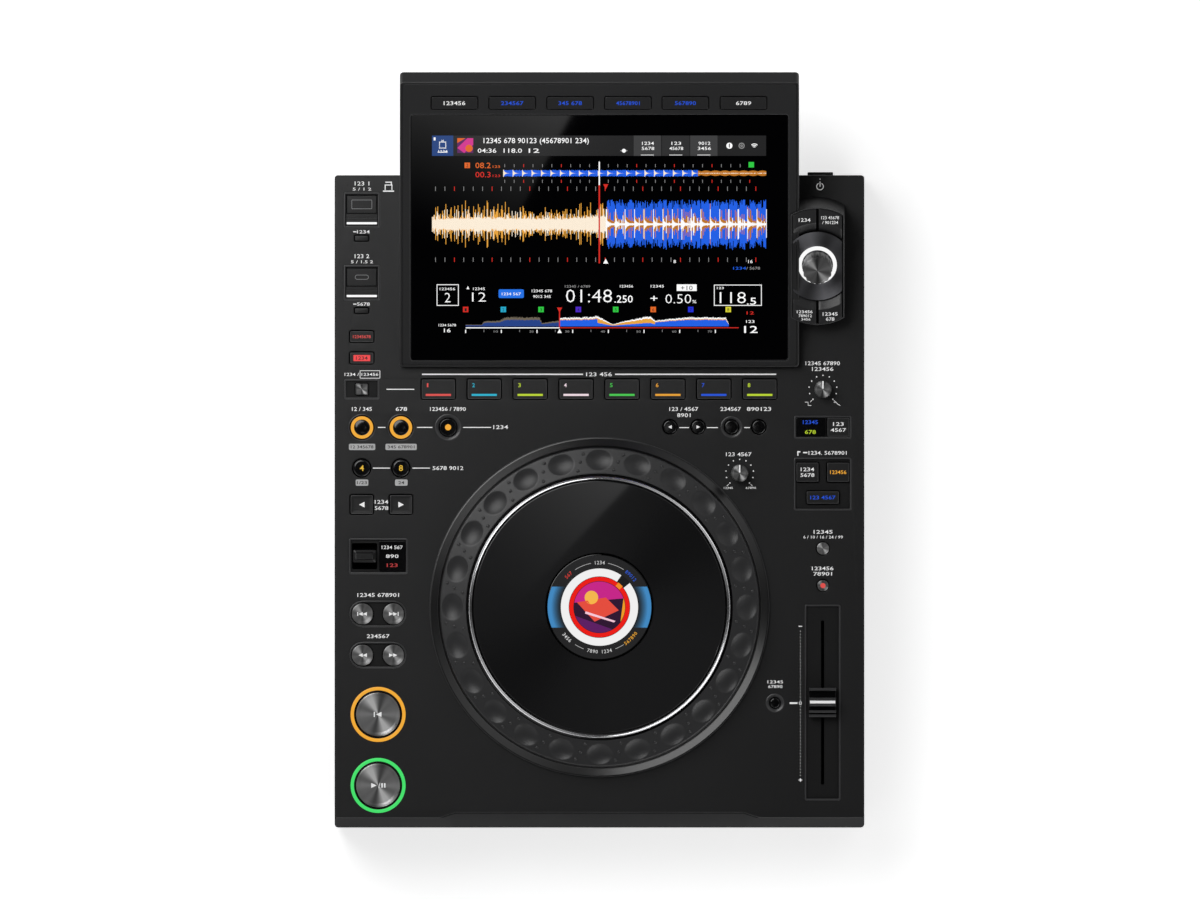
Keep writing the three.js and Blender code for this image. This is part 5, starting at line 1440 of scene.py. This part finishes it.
def rule(firstX, lastX, py, thick=0.55):
    # a level line between two pixels of the photo
    (left, y), (right, _) = fromPhoto(firstX, py), fromPhoto(lastX, py)
    return platePart(np.array([[left, y - thick * mm / 2], [right, y - thick * mm / 2], [right, y + thick * mm / 2],
                               [left, y + thick * mm / 2]]), *mark)


def label(digits, px, py, span, tall):
    x, y = fromPhoto(px, py)
    return words(digits, x / mm, y / mm, span, tall)


def tag(x, y, width, height):
    return plate(moved(rectangleOutline(width, height, 0.8), x, y))


def dotRing(x, y, radius, size, count=11, sweep=270):
    angles = np.radians(90 + sweep / 2 - np.arange(count) * sweep / (count - 1))
    return [plate(moved(circleOutline(size, 10), x + radius * math.cos(a), y + radius * math.sin(a))) for a in angles]


# digits in place of each printed name: text, middle in pixels, width and height in millimetres
deckWords = (
    ("123 1", 362.0, 183.5, 9.1, 2.5), ("5 / 1 2", 362.0, 189.1, 11.5, 1.8), ("123 2", 362.0, 256.2, 9.1, 2.5),
    ("5 / 1.5 2", 362.0, 261.8, 13.7, 1.8), ("1234", 363.4, 231.8, 7.9, 2.1), ("5678", 363.4, 304.1, 7.9, 2.1),
    ("1234 /", 351.8, 374.4, 9.0, 1.9), ("123456", 369.9, 374.4, 10.4, 1.8), ("123 456", 599.0, 374.3, 16.0, 2.4),
    ("12 / 345", 361.9, 409.0, 12.4, 2.4), ("678", 401.4, 409.0, 7.1, 2.4),
    ("123456 / 7890", 447.9, 409.0, 22.2, 2.4), ("1234", 500.7, 427.1, 9.2, 2.4),
    ("5678 9012", 448.0, 468.1, 19.1, 2.4), ("1234", 381.5, 501.9, 8.4, 2.4), ("5678", 381.5, 508.1, 8.4, 2.4),
    ("12345 678901", 378.2, 595.0, 25.9, 2.4), ("234567", 378.1, 636.2, 14.1, 2.4),
    ("123 / 4567", 683.8, 409.0, 18.0, 2.4), ("8901", 683.8, 415.2, 8.4, 2.4), ("234567", 730.7, 409.0, 12.7, 2.4),
    ("890123", 759.0, 409.0, 15.1, 2.4), ("123 4567", 738.7, 454.3, 15.8, 2.4), ("12345", 728.3, 487.9, 5.6, 1.3),
    ("67890", 750.8, 487.9, 6.4, 1.3), ("12345 67890", 822.7, 363.3, 21.4, 2.4),
    ("123456", 822.7, 369.0, 13.3, 2.4), ("1234. 5678901", 827.6, 452.9, 23.7, 2.3),
    ("12345", 823.1, 531.9, 11.8, 2.3), ("6 / 10 / 16 / 24 / 99", 823.1, 537.1, 24.5, 1.8),
    ("123456", 822.7, 568.4, 13.4, 2.3), ("78901", 822.7, 573.8, 11.6, 2.3), ("12345", 775.3, 681.9, 9.7, 1.9),
    ("67890", 775.3, 686.6, 8.9, 1.9), ("0", 800.3, 703.1, 1.9, 2.2),
)
deckRules = (
    (353.2, 356.5, 231.8, 0.6), (353.2, 356.5, 304.1, 0.6), (386.4, 414.3, 389.3), (422.0, 583.0, 374.3, 0.8),
    (615.0, 776.2, 374.3, 0.8), (377.9, 385.5, 427.4), (417.1, 432.4, 427.4), (463.1, 491.0, 427.4),
    (372.9, 390.0, 468.1), (412.4, 430.0, 468.1), (679.3, 689.0, 427.6), (706.9, 717.9, 427.6),
    (744.3, 749.8, 427.6), (797.3, 800.4, 451.8, 0.8), (797.3, 798.4, 453.4, 2.8), (803.1, 807.4, 452.6, 0.8),
    (789.7, 797.5, 703.1, 1.1), (798.6, 802.2, 626.3), (798.6, 802.2, 780.0), (799.95, 800.85, 780.0, 2.2),
    (360.2, 379.8, 370.7, 0.35), (360.2, 379.8, 378.2, 0.35), (359.8, 360.4, 374.4, 4.7),
    (379.6, 380.2, 374.4, 4.7),
)
deckTags = (
    (362.1, 446.9, 16.3, "12 345678", 14.0), (401.1, 446.9, 19.4, "345 678901", 16.7),
    (362.0, 482.6, 7.8, "1/23", 6.2), (401.3, 482.6, 7.8, "24", 3.7),
)


def buildDeckPrint():
    marks = [label(*row) for row in deckWords] + [rule(*row) for row in deckRules]
    marks += dotRing(87.1, -14.5, 8.6, 0.42) + dotRing(138.8, 37.6, 8.7, 0.42)
    dots = [y for y in np.arange(-112.6, -203, -1.95) if abs(y + 157.2) > 1.6]
    marks += [plate(moved(circleOutline(0.25, 8), 124.8, y)) for y in dots]
    for x, y, turn in ((79.9, -21.7, 225), (94.3, -21.7, -45), (131.6, 30.4, 225), (146.0, 30.4, -45)):
        a = math.radians(turn)
        start = np.array([x - 0.6 * math.cos(a), y - 0.6 * math.sin(a)])
        path = np.stack([start, start + 1.6 * np.array([math.cos(a), math.sin(a)])])
        marks.append(strokePart(path * mm, 0.35 * mm, *mark))
    # a step and a slope, for quick and slow
    stepPath = np.array([[127.6, 29.6], [129.6, 29.6], [129.6, 27.6], [131.6, 27.6]]) * mm
    slopePath = np.array([[145.4, 29.6], [147.0, 29.5], [148.2, 28.2], [149.6, 27.6]]) * mm
    marks += [strokePart(path, 0.35 * mm, *mark) for path in (stepPath, slopePath)]
    # a folding computer with its cable
    marks += [box(-134.4, -127.6, 160.3, 161.1), box(-133.0, -129.0, 165.9, 166.6), box(-129.6, -128.9, 164.4, 166.6)]
    marks += [box(-133.4, -132.8, 161.4, 164.6), box(-129.2, -128.6, 161.4, 164.6), box(-133.4, -128.6, 164.2, 164.8)]
    # the sign of the power switch
    marks.append(arcPart(137 * mm, 163.6 * mm, 1.85 * mm, 2.35 * mm, 115, 425, *mark))
    marks += [box(136.75, 137.25, 163.4, 166.6), plate(moved(circleOutline(0.35, 10), 137, 168.2))]
    deckMarks("deckPrint", marks)
    places = [[v / mm for v in fromPhoto(px, py)] for px, py, *_ in deckTags]
    deckMarks("deckTags", [tag(x, y, row[2], 3.9) for (x, y), row in zip(places, deckTags)], "tagWhite")
    numbers = [words(row[3], x, y, row[4], 1.9) for (x, y), row in zip(places, deckTags)]
    deckMarks("deckTagNumbers", numbers, "darkPrint", 0.05 * mm)


buildDeckPrint()
print("deck print made")

# Memory stick bays: a flap with a pictogram, a stepped ledge and a bar of light

bay = inMm(barWidth=18.8, barDepth=1.35, inner=19.2, setback=1.5)


def buildBays():
    for order, (x, y) in enumerate(stickMiddles, 1):
        node = f"stick_flap_{order}"
        low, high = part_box(node)
        width, depth = high.x - low.x, high.y - low.y
        spot = spotAt(x, (low.y + high.y) / 2, high.z)
        lid = {"width": width, "depth": depth, "corner": 0.4 * mm}
        mesh = capMesh(f"stickFlap{order}", lid, capProfile(low.z - high.z + 0.3 * mm, 0, 0.25 * mm), spot)
        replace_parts(addPiece(f"stickFlap{order}", mesh, "flap", node, True), node)
        wide, tall, corner = ((12.8, 5.8, 0.6), (8.6, 3.0, 1.45))[order - 1]
        outer, inner = rectangleOutline(wide, tall, corner), rectangleOutline(wide - 0.7, tall - 0.7, corner - 0.34)
        count = len(outer)
        ring = np.concatenate([outer, inner]) * mm
        points = np.concatenate([lifted(ring, mark[0]), lifted(ring, mark[1])])
        a, b = np.arange(count), np.roll(np.arange(count), -1)
        faces = np.concatenate([
            np.stack([a, b, b + count, a + count], -1),
            np.stack([a + 2 * count, a + 3 * count, b + 3 * count, b + 2 * count], -1),
            np.stack([a, a + 2 * count, b + 2 * count, b], -1),
            np.stack([a + count, b + count, b + 3 * count, a + 3 * count], -1),
        ]).tolist()
        addParts(f"stickFlapSign{order}", [(points, faces)], "grey", spot, node)
        # the ledge in front of the flap: two shallow steps and a sill
        front = y - stickWell["depth"] / 2 + bay["setback"]
        rear = low.y - 0.5 * mm
        rows = np.array([front, front + 2.6 * mm, front + 2.7 * mm, front + 4.2 * mm, front + 4.3 * mm, rear - 0.9 * mm,
                         rear - 0.8 * mm, rear])
        heights = np.array([-0.35, -0.35, -0.05, -0.05, -0.45, -0.45, -0.1, -0.1]) * mm
        across = np.linspace(-bay["inner"] / 2, bay["inner"] / 2, 2)
        plan = np.stack(np.meshgrid(x + across, rows, indexing="xy"), -1)
        ledge = plateMesh(f"bayLedge{order}", plan, np.repeat(heights[:, None], 2, 1), -1.2 * mm, deckSpot, 20)
        addPiece(f"bayLedge{order}", ledge, "flap", "chassis")
        bar = {"width": bay["barWidth"], "depth": bay["barDepth"], "corner": 0.3 * mm}
        glow = capMesh(f"bayLight{order}", bar, capProfile(-0.8 * mm, 0.05 * mm, 0.15 * mm),
                       spotAt(x, front + 1.1 * mm, deckTop))
        addPiece(f"bayLight{order}", glow, "ledWhite", "chassis")


buildBays()
print("bays made")

# Selector: a pod beside the display with four keys, a dish, a ring of light and a fluted knob

pod = {
    "flutes": 16,
    **inMm(
        half=16.7, length=37.9, endRadius=32, rise=0.6, rearSlope=6.6, rim=0.9, floor=-3.6, keyHalf=15.1,
        keyLength=37.0, keyEnd=30, keyArc=22.6, between=1.7, keyRise=1.3, keyBand=5.4, dishFloor=12.6,
        dishEdge=22.0, dishDeep=-2.4, ringOuter=12.05, ringInner=9.7, knob=9.3, knobRise=11,
    ),
}


podWords = {
    "back_key": [("1234", -8.0, 30.1, 7.3, 2.3)],
    "tag_key": [("123 45678", 7.9, 31.6, 11.1, 2.0), ("/ 901234", 7.9, 28.5, 9.8, 2.0)],
    "filter_key": [("123456", -7.9, -29.2, 9.8, 1.9), ("789012", -7.6, -31.8, 8.2, 1.8),
                   ("3456", -7.2, -34.1, 5.6, 1.5)],
    "shortcut_key": [("12345", 7.9, -30.6, 9.3, 2.2), ("678", 7.9, -33.9, 5.3, 2.2)],
}


def podOutline(inset=0.0, rearSlope=0.0):
    # two flat arcs for the ends, straight sides between them
    half, radius = pod["half"] - inset, pod["endRadius"] - inset
    lean = math.asin(half / radius)
    angles = np.linspace(lean, -lean, 25)
    rear = np.stack([radius * np.sin(angles), pod["length"] - inset + rearSlope - radius * (1 - np.cos(angles))], -1)
    front = np.stack([radius * np.sin(-angles), -(pod["length"] - inset) + radius * (1 - np.cos(angles))], -1)
    return np.concatenate([rear, front])


def buildPod():
    spot = faceSpotOf("selector_shaft")
    foot = podOutline(0, pod["rearSlope"])
    toPod = spot.inverted()
    base = np.concatenate([foot, np.zeros((len(foot), 1))], 1)
    base[:, 1] *= faceNormal.z
    base += np.array([spot.translation.x, spot.translation.y, 0])
    base[:, 2] = deckTop + 0.1 * mm
    base = placed(base, toPod)
    rise, edge, rim = pod["rise"], 0.45 * mm, pod["rim"]
    rows = [base] + [lifted(podOutline(edge * (1 - math.cos(a))), rise - edge + edge * math.sin(a))
                     for a in np.linspace(0, math.pi / 2, 4)]
    rows += [lifted(podOutline(rim - 0.15 * mm), rise), lifted(podOutline(rim), rise - 0.15 * mm),
             lifted(podOutline(rim), pod["floor"])]
    shell = ringsMesh("selectorPod", rows, spot, angle=35)
    # the pod's body is near black: painted shade on its slopes and in the gaps between its keys
    addPiece("selectorPod", shell, "paintedShadeWell", "chassis", True)
    # a light frame round the pod: a painted highlight on its edge
    brims = [podOutline(0.1 * mm), podOutline(0.75 * mm)]
    frame = sheetMesh("selectorFrame", brims, -0.2 * mm, rise + 0.12 * mm, 0.2 * mm, spot)
    addPiece("selectorFrame", frame, "trim", "chassis", True)

    # each key: a level field with a band that falls away to the dish
    names = {"back_key": (-1, 1), "tag_key": (1, 1), "filter_key": (-1, -1), "shortcut_key": (1, -1)}
    for node, (signX, signY) in names.items():
        across = np.linspace(pod["between"] / 2, pod["keyHalf"], 18)
        inner = np.sqrt(pod["keyArc"] ** 2 - across**2)
        outer = pod["keyLength"] - pod["keyEnd"] + np.sqrt(pod["keyEnd"] ** 2 - across**2)
        band = np.sqrt((pod["keyArc"] + pod["keyBand"]) ** 2 - across**2)
        rows = [inner, inner + 0.25 * mm, band - 0.4 * mm, band, band + 0.4 * mm]
        rows += [outer - 0.4 * mm, outer - 0.1 * mm, outer]
        drops = np.array([2.95, 2.7, 0.28, 0.07, 0, 0, 0.1, 0.4]) * mm
        plan = np.stack([np.broadcast_to(across * signX, (8, 18)), np.stack(rows) * signY], -1)
        height = pod["keyRise"] - np.repeat(drops[:, None], 18, 1)
        height[:, 0] -= 0.2 * mm
        height[:, -1] -= 0.3 * mm
        cap = plateMesh(node + "Cap", plan, height, -2.2 * mm, spot, 32)
        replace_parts(addPiece(node + "Cap", cap, "podKey", node, True), node)
        sign = [words(digits, x, y, span, tall) for digits, x, y, span, tall in podWords[node]]
        addParts(node + "Number", sign, "white", spot @ spotAt(0, 0, pod["keyRise"]), node)

    # the dish: a cone between the keys, cut off by the pod's straight sides, with glints painted into its colour
    angles = fullTurn(192)
    limit = np.minimum(pod["dishEdge"], (pod["keyHalf"] + 0.1 * mm) / np.maximum(np.abs(np.cos(angles)), 1e-6))
    slope = (0.35 * mm - pod["dishDeep"]) / (pod["dishEdge"] - pod["dishFloor"])
    rows = []
    for share in np.linspace(0, 1, 9):
        radius = pod["dishFloor"] + (limit - pod["dishFloor"]) * share
        rows.append(turnedRing(radius, angles, pod["dishDeep"] + slope * (radius - pod["dishFloor"])))
    thick = np.array([0, 0, 0.8 * mm])
    inner = rows[0] * np.array([0.5, 0.5, 1])
    layers = [inner - thick, inner, *rows, rows[-1] - thick, rows[0] - thick]
    dish = ringsMesh("selectorDish", layers, spot, closed=True, angle=35)
    cone = spunMaterial("dishPaintedGlints", spot.translation, "#6c6c70", "#030304", 1.95, 1.6, 0.5, 0.0)
    addPiece("selectorDish", dish, cone, "chassis")
    ring = bandProfile(pod["ringInner"], pod["ringOuter"], pod["dishDeep"] - 0.5 * mm, pod["dishDeep"] + 0.9 * mm,
                       0.4 * mm)
    addTurned("selectorLight", ring, spot, 96, "ledWhite", "chassis")
    stem = latheMesh("selectorStem", [(3 * mm, -8 * mm), (3 * mm, 6 * mm), (2.6 * mm, 6.4 * mm)], spot, 32,
                     closed=False)
    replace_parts(addPiece("selectorStem", stem, "silver", "selector_shaft"), "selector_shaft")

    # the knob: a fluted side, a rounded brow and a spun face with a low rim, its glints painted into its colour
    turn = fullTurn(256)
    wave = (1 - np.cos(pod["flutes"] * turn)) / 2
    bottom, top = pod["dishDeep"] + 1.2 * mm, pod["knobRise"]
    rows = []
    for height, inset, depth in ((bottom, 0.2, 0.2), (bottom + 0.3 * mm, 0, 0.55), (top - 1.3 * mm, 0.1, 0.62),
                                 (top - 0.6 * mm, 0.35, 0.55), (top - 0.2 * mm, 0.8, 0.35), (top, 1.4, 0.1),
                                 (top, 1.9, 0), (top - 0.25 * mm, 2.2, 0)):
        radius = pod["knob"] - (inset + depth * wave) * mm
        rows.append(turnedRing(radius, turn, height))
    knob = ringsMesh("selectorKnob", rows, spot, angle=30)
    material = spunMaterial("knobPaintedGlints", (spot @ Vector((0, 0, top))), "#a0a0a0", "#040405", 2.3, 2.4, 0.4, 0.2)
    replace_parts(addPiece("selectorKnob", knob, material, "selector_knob"), "selector_knob")


buildPod()
print("selector made")

# Tempo fader

faderCap = {"width": 16.8 * mm, "length": 18.7 * mm, "bottom": -0.5 * mm, "base": 3.4 * mm, "line": (16.5, 1.7, 8.35)}
# ridges across the cap: name, middle in front of the cap's middle, length, height in millimetres
faderRidges = (("Rear", 8.1, 2.2, 5.4), ("Middle", 0.25, 6.4, 7.9), ("Front", -5.6, 1.8, 5.8), ("Last", -8.2, 2.0, 4.6))


def buildFader():
    low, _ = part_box("tempo_fader")
    spot = spotAt(faderMiddle.x, faderMiddle.y, deckTop)
    base = {"width": faderCap["width"] - 0.3 * mm, "depth": faderCap["length"] - 0.3 * mm, "corner": 0.6 * mm}
    cap = capMesh("faderCap", base, capProfile(faderCap["bottom"], faderCap["base"], 0.5 * mm), spot)
    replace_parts(addPiece("faderCap", cap, "gloss", "tempo_fader", True), "tempo_fader")
    for name, y, length, rise in faderRidges:
        # each ridge narrows evenly towards its top
        foot, brow = length / 2 * mm, length * 0.36 * mm
        sides = ((0.2, foot), (rise - 0.5, brow + 0.15 * mm), (rise - 0.15, brow), (rise, brow - 0.2 * mm))
        rows = [lifted(rectangleOutline(faderCap["width"] - 0.08 * z * mm, 2 * half, 0.25 * mm), z * mm)
                for z, half in sides]
        ridge = ringsMesh("faderRidge" + name, rows, spot @ spotAt(0, y * mm, 0), angle=30)
        addPiece("faderRidge" + name, ridge, "faderMetal", "tempo_fader", True)
    width, depth, top = faderCap["line"]
    line = {"width": (width - 0.7) * mm, "depth": depth * mm, "corner": 0.2 * mm}
    strip = capMesh("faderLine", line, capProfile(7.2 * mm, top * mm, 0.2 * mm),
                    spot @ spotAt(0, 0.25 * mm, 0))
    addPiece("faderLine", strip, "white", "tempo_fader")
    stem = inMm(width=1.3, depth=6, corner=0.2)
    neck = capMesh("faderStem", stem, capProfile(low.z - deckTop + 0.5 * mm, -0.4 * mm, 0.1 * mm), spot)
    addPiece("faderStem", neck, "key", "tempo_fader")


buildFader()

# Direction lever, with the dark windows of the lever and of the jog mode

# the two dark windows: name, place across in millimetres and along in metres, then width, depth and corner,
# edge and rise in millimetres
windows = (
    ("lever", -128.7, leverMiddle.y, (16.3, 18.8, 0.9), 0.25, 0.25),
    ("mode", 131.3, modeMiddle[1], (17.8, 11.7, 0.5), 0.2, -0.1),
)
# the digits in them: name, colour, then text, place, width and height in millimetres
windowWords = {
    "lever": [("leverNumbers", "white", [("1234 567", 0, 5.5, 13.1, 2.2), ("890", 0, 0, 7.9, 2.2)]),
              ("leverNumberRed", "sideRed", [("123", 0, -5.6, 6.8, 2.2)])],
    "mode": [("modeNumberBlue", "ledBlue", [("12345", -0.3, 3.1, 9.3, 2.4)]),
             ("modeNumberLime", "ledLime", [("678", -0.3, -3.0, 6.8, 2.4)])],
}


def buildLever():
    spot = spotAt(leverMiddle.x, leverMiddle.y, deckTop)
    rows = []
    for height, width, depth in ((-8, 14.4, 4.8), (-3, 14.4, 8.0), (0.9, 14.4, 8.0), (1.5, 14.0, 7.6), (2.4, 11.9, 5.0),
                                 (7.4, 11.5, 4.4), (8.1, 11.1, 4.0), (8.5, 10.3, 3.2)):
        rows.append(lifted(rectangleOutline(width * mm, depth * mm, min(1.0, depth / 4) * mm), height * mm))
    mesh = ringsMesh("leverGrip", rows, spot, angle=30)
    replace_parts(addPiece("leverGrip", mesh, "flap", "direction_lever", True), "direction_lever")
    for name, x, y, window, edge, rise in windows:
        shape = inMm(width=window[0], depth=window[1], corner=window[2])
        pane = capMesh(name + "Window", shape, capProfile(-1.2 * mm, rise * mm, edge * mm), spotAt(x * mm, y, deckTop))
        addPiece(name + "Window", pane, "gloss", "chassis", True)
        for label, color, rows in windowWords[name]:
            digits = [words(*row) for row in rows]
            addParts(label, digits, color, spotAt(x * mm, y, deckTop + rise * mm))


buildLever()

# Small turning knobs

# height, radius and depth of the flutes, in millimetres
knobRows = ((0.3, 5.4, 0.15), (0.6, 5.5, 0.2), (7.6, 5.2, 0.2), (8.5, 4.9, 0.1), (8.9, 4.4, 0),
            (9.0, 3.8, 0), (8.8, 3.4, 0))
knobFlutes = 24

def buildKnobs():
    for node in ("jog_feel_knob", "stop_speed_knob"):
        spot = deckSpotOf(node)
        turn = fullTurn(144)
        wave = (1 - np.cos(knobFlutes * turn)) / 2
        rows = []
        for height, radius, depth in knobRows:
            rows.append(turnedRing((radius - depth * wave) * mm, turn, height * mm))
        cap = ringsMesh(node + "Cap", rows, spot, angle=30)
        # the spun face's glints are painted into its colour
        face = spunMaterial(node + "PaintedGlints", spot.translation, "#a8a8a8", "#030304", 2.1, 2.6, 0.4, 0.2)
        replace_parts(addPiece(node + "Cap", cap, face, node), node)
        stem = latheMesh(node + "Stem", [(2.5 * mm, -8 * mm), (2.5 * mm, 1 * mm), (2 * mm, 1.2 * mm)], spot, 32,
                         closed=False)
        addPiece(node + "Stem", stem, "key", node)
        pointer = [box(-0.45, 0.45, 0.4, 5.1)]
        addParts(node + "Pointer", pointer, "white", spot @ spotAt(0, 0, 9.02 * mm), node)


buildKnobs()
print("fader, lever and knobs made")

# Rear: pins, contacts, coloured collars and the power button

# the body's width and the sockets' height in metres; each socket's share of the width and depth in millimetres
rear = {"width": 329 * mm, "middle": 33 * mm, "inlet": (-0.365, 15), "network": (-0.2, 12), "data": (-0.12, 10)}
jacks = (("Left", 0.05, "white"), ("Right", 0.17, "redPrint"), ("Digital", 0.24, "orangePrint"))


def rearSpot(share, depth=0):
    # on the rear wall, or on a socket's floor, looking out to the rear
    return spotAt(share * rear["width"], deckRear - depth * mm, rear["middle"]) @ Matrix.Rotation(-math.pi / 2, 4, "X")


def buildRear():
    low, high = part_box("power_button")
    middle = (low + high) / 2
    turn = Matrix.Rotation(-math.pi / 2, 4, "X")
    shape = inMm(width=15.9, depth=8, corner=1)
    cap = capMesh("powerCap", shape, capProfile(-5.5 * mm, 1.9 * mm, 0.5 * mm, 0.2 * mm),
                  spotAt(middle.x, deckRear, middle.z) @ turn)
    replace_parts(addPiece("powerCap", cap, "key", "power_button", True), "power_button")
    for name, share, color in jacks:
        spot = rearSpot(share)
        band = bandProfile(4.5 * mm, 6.2 * mm, -0.5 * mm, 1.6 * mm, 0.3 * mm)
        collar = latheMesh(f"jackCollar{name}", band, spot, 48)
        addPiece(f"jackCollar{name}", collar, color, "chassis")
        band = bandProfile(4.0 * mm, 4.55 * mm, 0.5 * mm, 8.1 * mm, 0.15 * mm)
        sleeve = latheMesh(f"jackSleeve{name}", band, spot, 48)
        addPiece(f"jackSleeve{name}", sleeve, "silver", "chassis")
    spot = rearSpot(*rear["inlet"])
    pins = [boxesPart((x - 1.0) * mm, (x + 1.0) * mm, (y - 2.0) * mm, (y + 2.0) * mm, -0.5 * mm, 11 * mm)
            for x, y in ((-7, 1.5), (0, -3.5), (7, 1.5))]
    addParts("inletPins", pins, "silver", spot)
    spot = rearSpot(*rear["network"])
    x = np.arange(8) * 1.02 - 3.57
    contacts = [boxesPart((x - 0.25) * mm, (x + 0.25) * mm, 2.6 * mm, 3.9 * mm, -0.5 * mm, 9 * mm)]
    addParts("networkContacts", contacts, "silver", spot)
    spot = rearSpot(*rear["data"])
    tongue = [boxesPart(-2.6 * mm, 2.6 * mm, -1.4 * mm, 1.4 * mm, -0.5 * mm, 8.5 * mm)]
    addParts("dataTongue", tongue, "key", spot)


buildRear()
print("rear made")


# Lights and floor


def areaLight(name, place, aim, width, length, radiance):
    # a soft lamp of even brightness that the camera doesn't see
    data = bpy.data.lights.new(name, "AREA")
    data.shape = "RECTANGLE"
    data.size, data.size_y = width, length
    data.energy = radiance * math.pi * width * length
    lamp = bpy.data.objects.new(name, data)
    lamp.location = place
    lamp.rotation_euler = (Vector(aim) - Vector(place)).to_track_quat("-Z", "Y").to_euler()
    lamp.visible_camera = False
    bpy.context.collection.objects.link(lamp)
    return lamp


def edgeCard(name, first, last, height, width, length, radiance, fades=False):
    # a level, dim sheet whose right-hand edge runs from the first plan point towards the last, where it may fade out
    way = (Vector(last) - Vector(first)).normalized()
    middle = (Vector(first) + Vector(last)) / 2 + Vector((way.y, -way.x)) * width / 2
    lamp = areaLight(name, (middle.x, middle.y, height), (middle.x, middle.y, 0), width, length, radiance)
    lamp.rotation_euler = (0, 0, math.atan2(way.y, way.x) - math.pi / 2)
    if fades:
        lamp.data.use_nodes = True
        tree = lamp.data.node_tree
        along = tree.nodes.new("ShaderNodeSeparateXYZ")
        tree.links.new(tree.nodes.new("ShaderNodeNewGeometry").outputs["Parametric"], along.inputs[0])
        share = mathNode(tree, "MAXIMUM", mathNode(tree, "SUBTRACT", 0.85, along.outputs["Y"]), 0.0)
        tree.links.new(mathNode(tree, "MULTIPLY", share, share), tree.nodes["Emission"].inputs["Strength"])


lamps = {
    "key": ((-0.46, 0.52, 0.95), 0.8, 0.8, 3.9),
    "skirt": ((0.7, -0.94, 0.5), 1.5, 0.3, 3.2),
    "fill": ((0.9, 0.5, 1.1), 0.8, 0.8, 0.3),
    "front": ((-0.2, -1.2, 0.9), 0.8, 0.6, 0.25),
}
for name, (place, width, length, radiance) in lamps.items():
    areaLight(name + "Light", place, (0, 0, 0.05), width, length, radiance)
edgeCard("platterCard", (0.019, -0.021), (-0.0444, -0.0883), 1.0, 0.055, 0.2, 2.3, True)


def glassShadow(px, py, height):
    # the plan point that the sloping glass mirrors, at the given height, for a view from above
    x, y = fromPhoto(px, py)
    return x, y - math.tan(2 * faceTilt) * (height - faceHeight(y))


edgeCard("glassCard", glassShadow(567, 120, 0.9), glassShadow(492, 263, 0.9), 0.9, 0.2, 0.18, 1.9, True)

# World: bright in bands low down between the walls, dark overhead
world = bpy.data.worlds.new("studio")
bpy.context.scene.world = world
world.use_nodes = True
tree = world.node_tree
background = tree.nodes["Background"]
direction = tree.nodes.new("ShaderNodeTexCoord").outputs["Generated"]
toward = addNode(tree, "SeparateXYZ", {0: direction}).outputs


def sky(kind, *values):
    return mathNode(tree, kind, *values)


up = sky("MAXIMUM", toward["Z"], 0.0)
flatness = sky("SUBTRACT", 1.0001, sky("POWER", up, 2.0))
corner = sky("ABSOLUTE", sky("MULTIPLY", toward["X"], toward["Y"]))
corner = sky("DIVIDE", sky("MULTIPLY", corner, 2.0), flatness)
band = sky("MULTIPLY_ADD", sky("POWER", corner, 1.5), 2.3, 0.12)
fade = sky("SUBTRACT", 1.0, sky("POWER", up, 0.25))
rim = sky("MULTIPLY_ADD", up, -100.0, 1.0)
brightness = sky("MAXIMUM", sky("MULTIPLY_ADD", band, fade, 0.01), rim)
setInputs(tree, background, {"Strength": brightness, "Color": (1, 1, 1, 1)})

floorSize = 6.0
floorMesh = bpy.data.meshes.new("floor")
half, low = floorSize / 2, -0.1 * mm
floorMesh.from_pydata([(-half, -half, low), (half, -half, low), (half, half, low), (-half, half, low)],
                      [], [(0, 1, 2, 3)])
floorMaterial, tree, shader, place = newMaterial("floorWhite")
path = tree.nodes.new("ShaderNodeLightPath")
seenBy = mathNode(tree, "MAXIMUM", path.outputs["Is Camera Ray"], path.outputs["Is Glossy Ray"])
seenBy = mathNode(tree, "MAXIMUM", seenBy, path.outputs["Is Transmission Ray"])
setInputs(tree, shader, {
    "Base Color": (0.86, 0.86, 0.86, 1), "Roughness": 0.9, "Emission Color": (1, 1, 1, 1),
    "Emission Strength": mathNode(tree, "MULTIPLY", seenBy, 0.62),
})
floorMesh.materials.append(floorMaterial)
floor = bpy.data.objects.new("floor", floorMesh)
bpy.context.collection.objects.link(floor)

scene = bpy.context.scene
scene.view_settings.view_transform = "Standard"
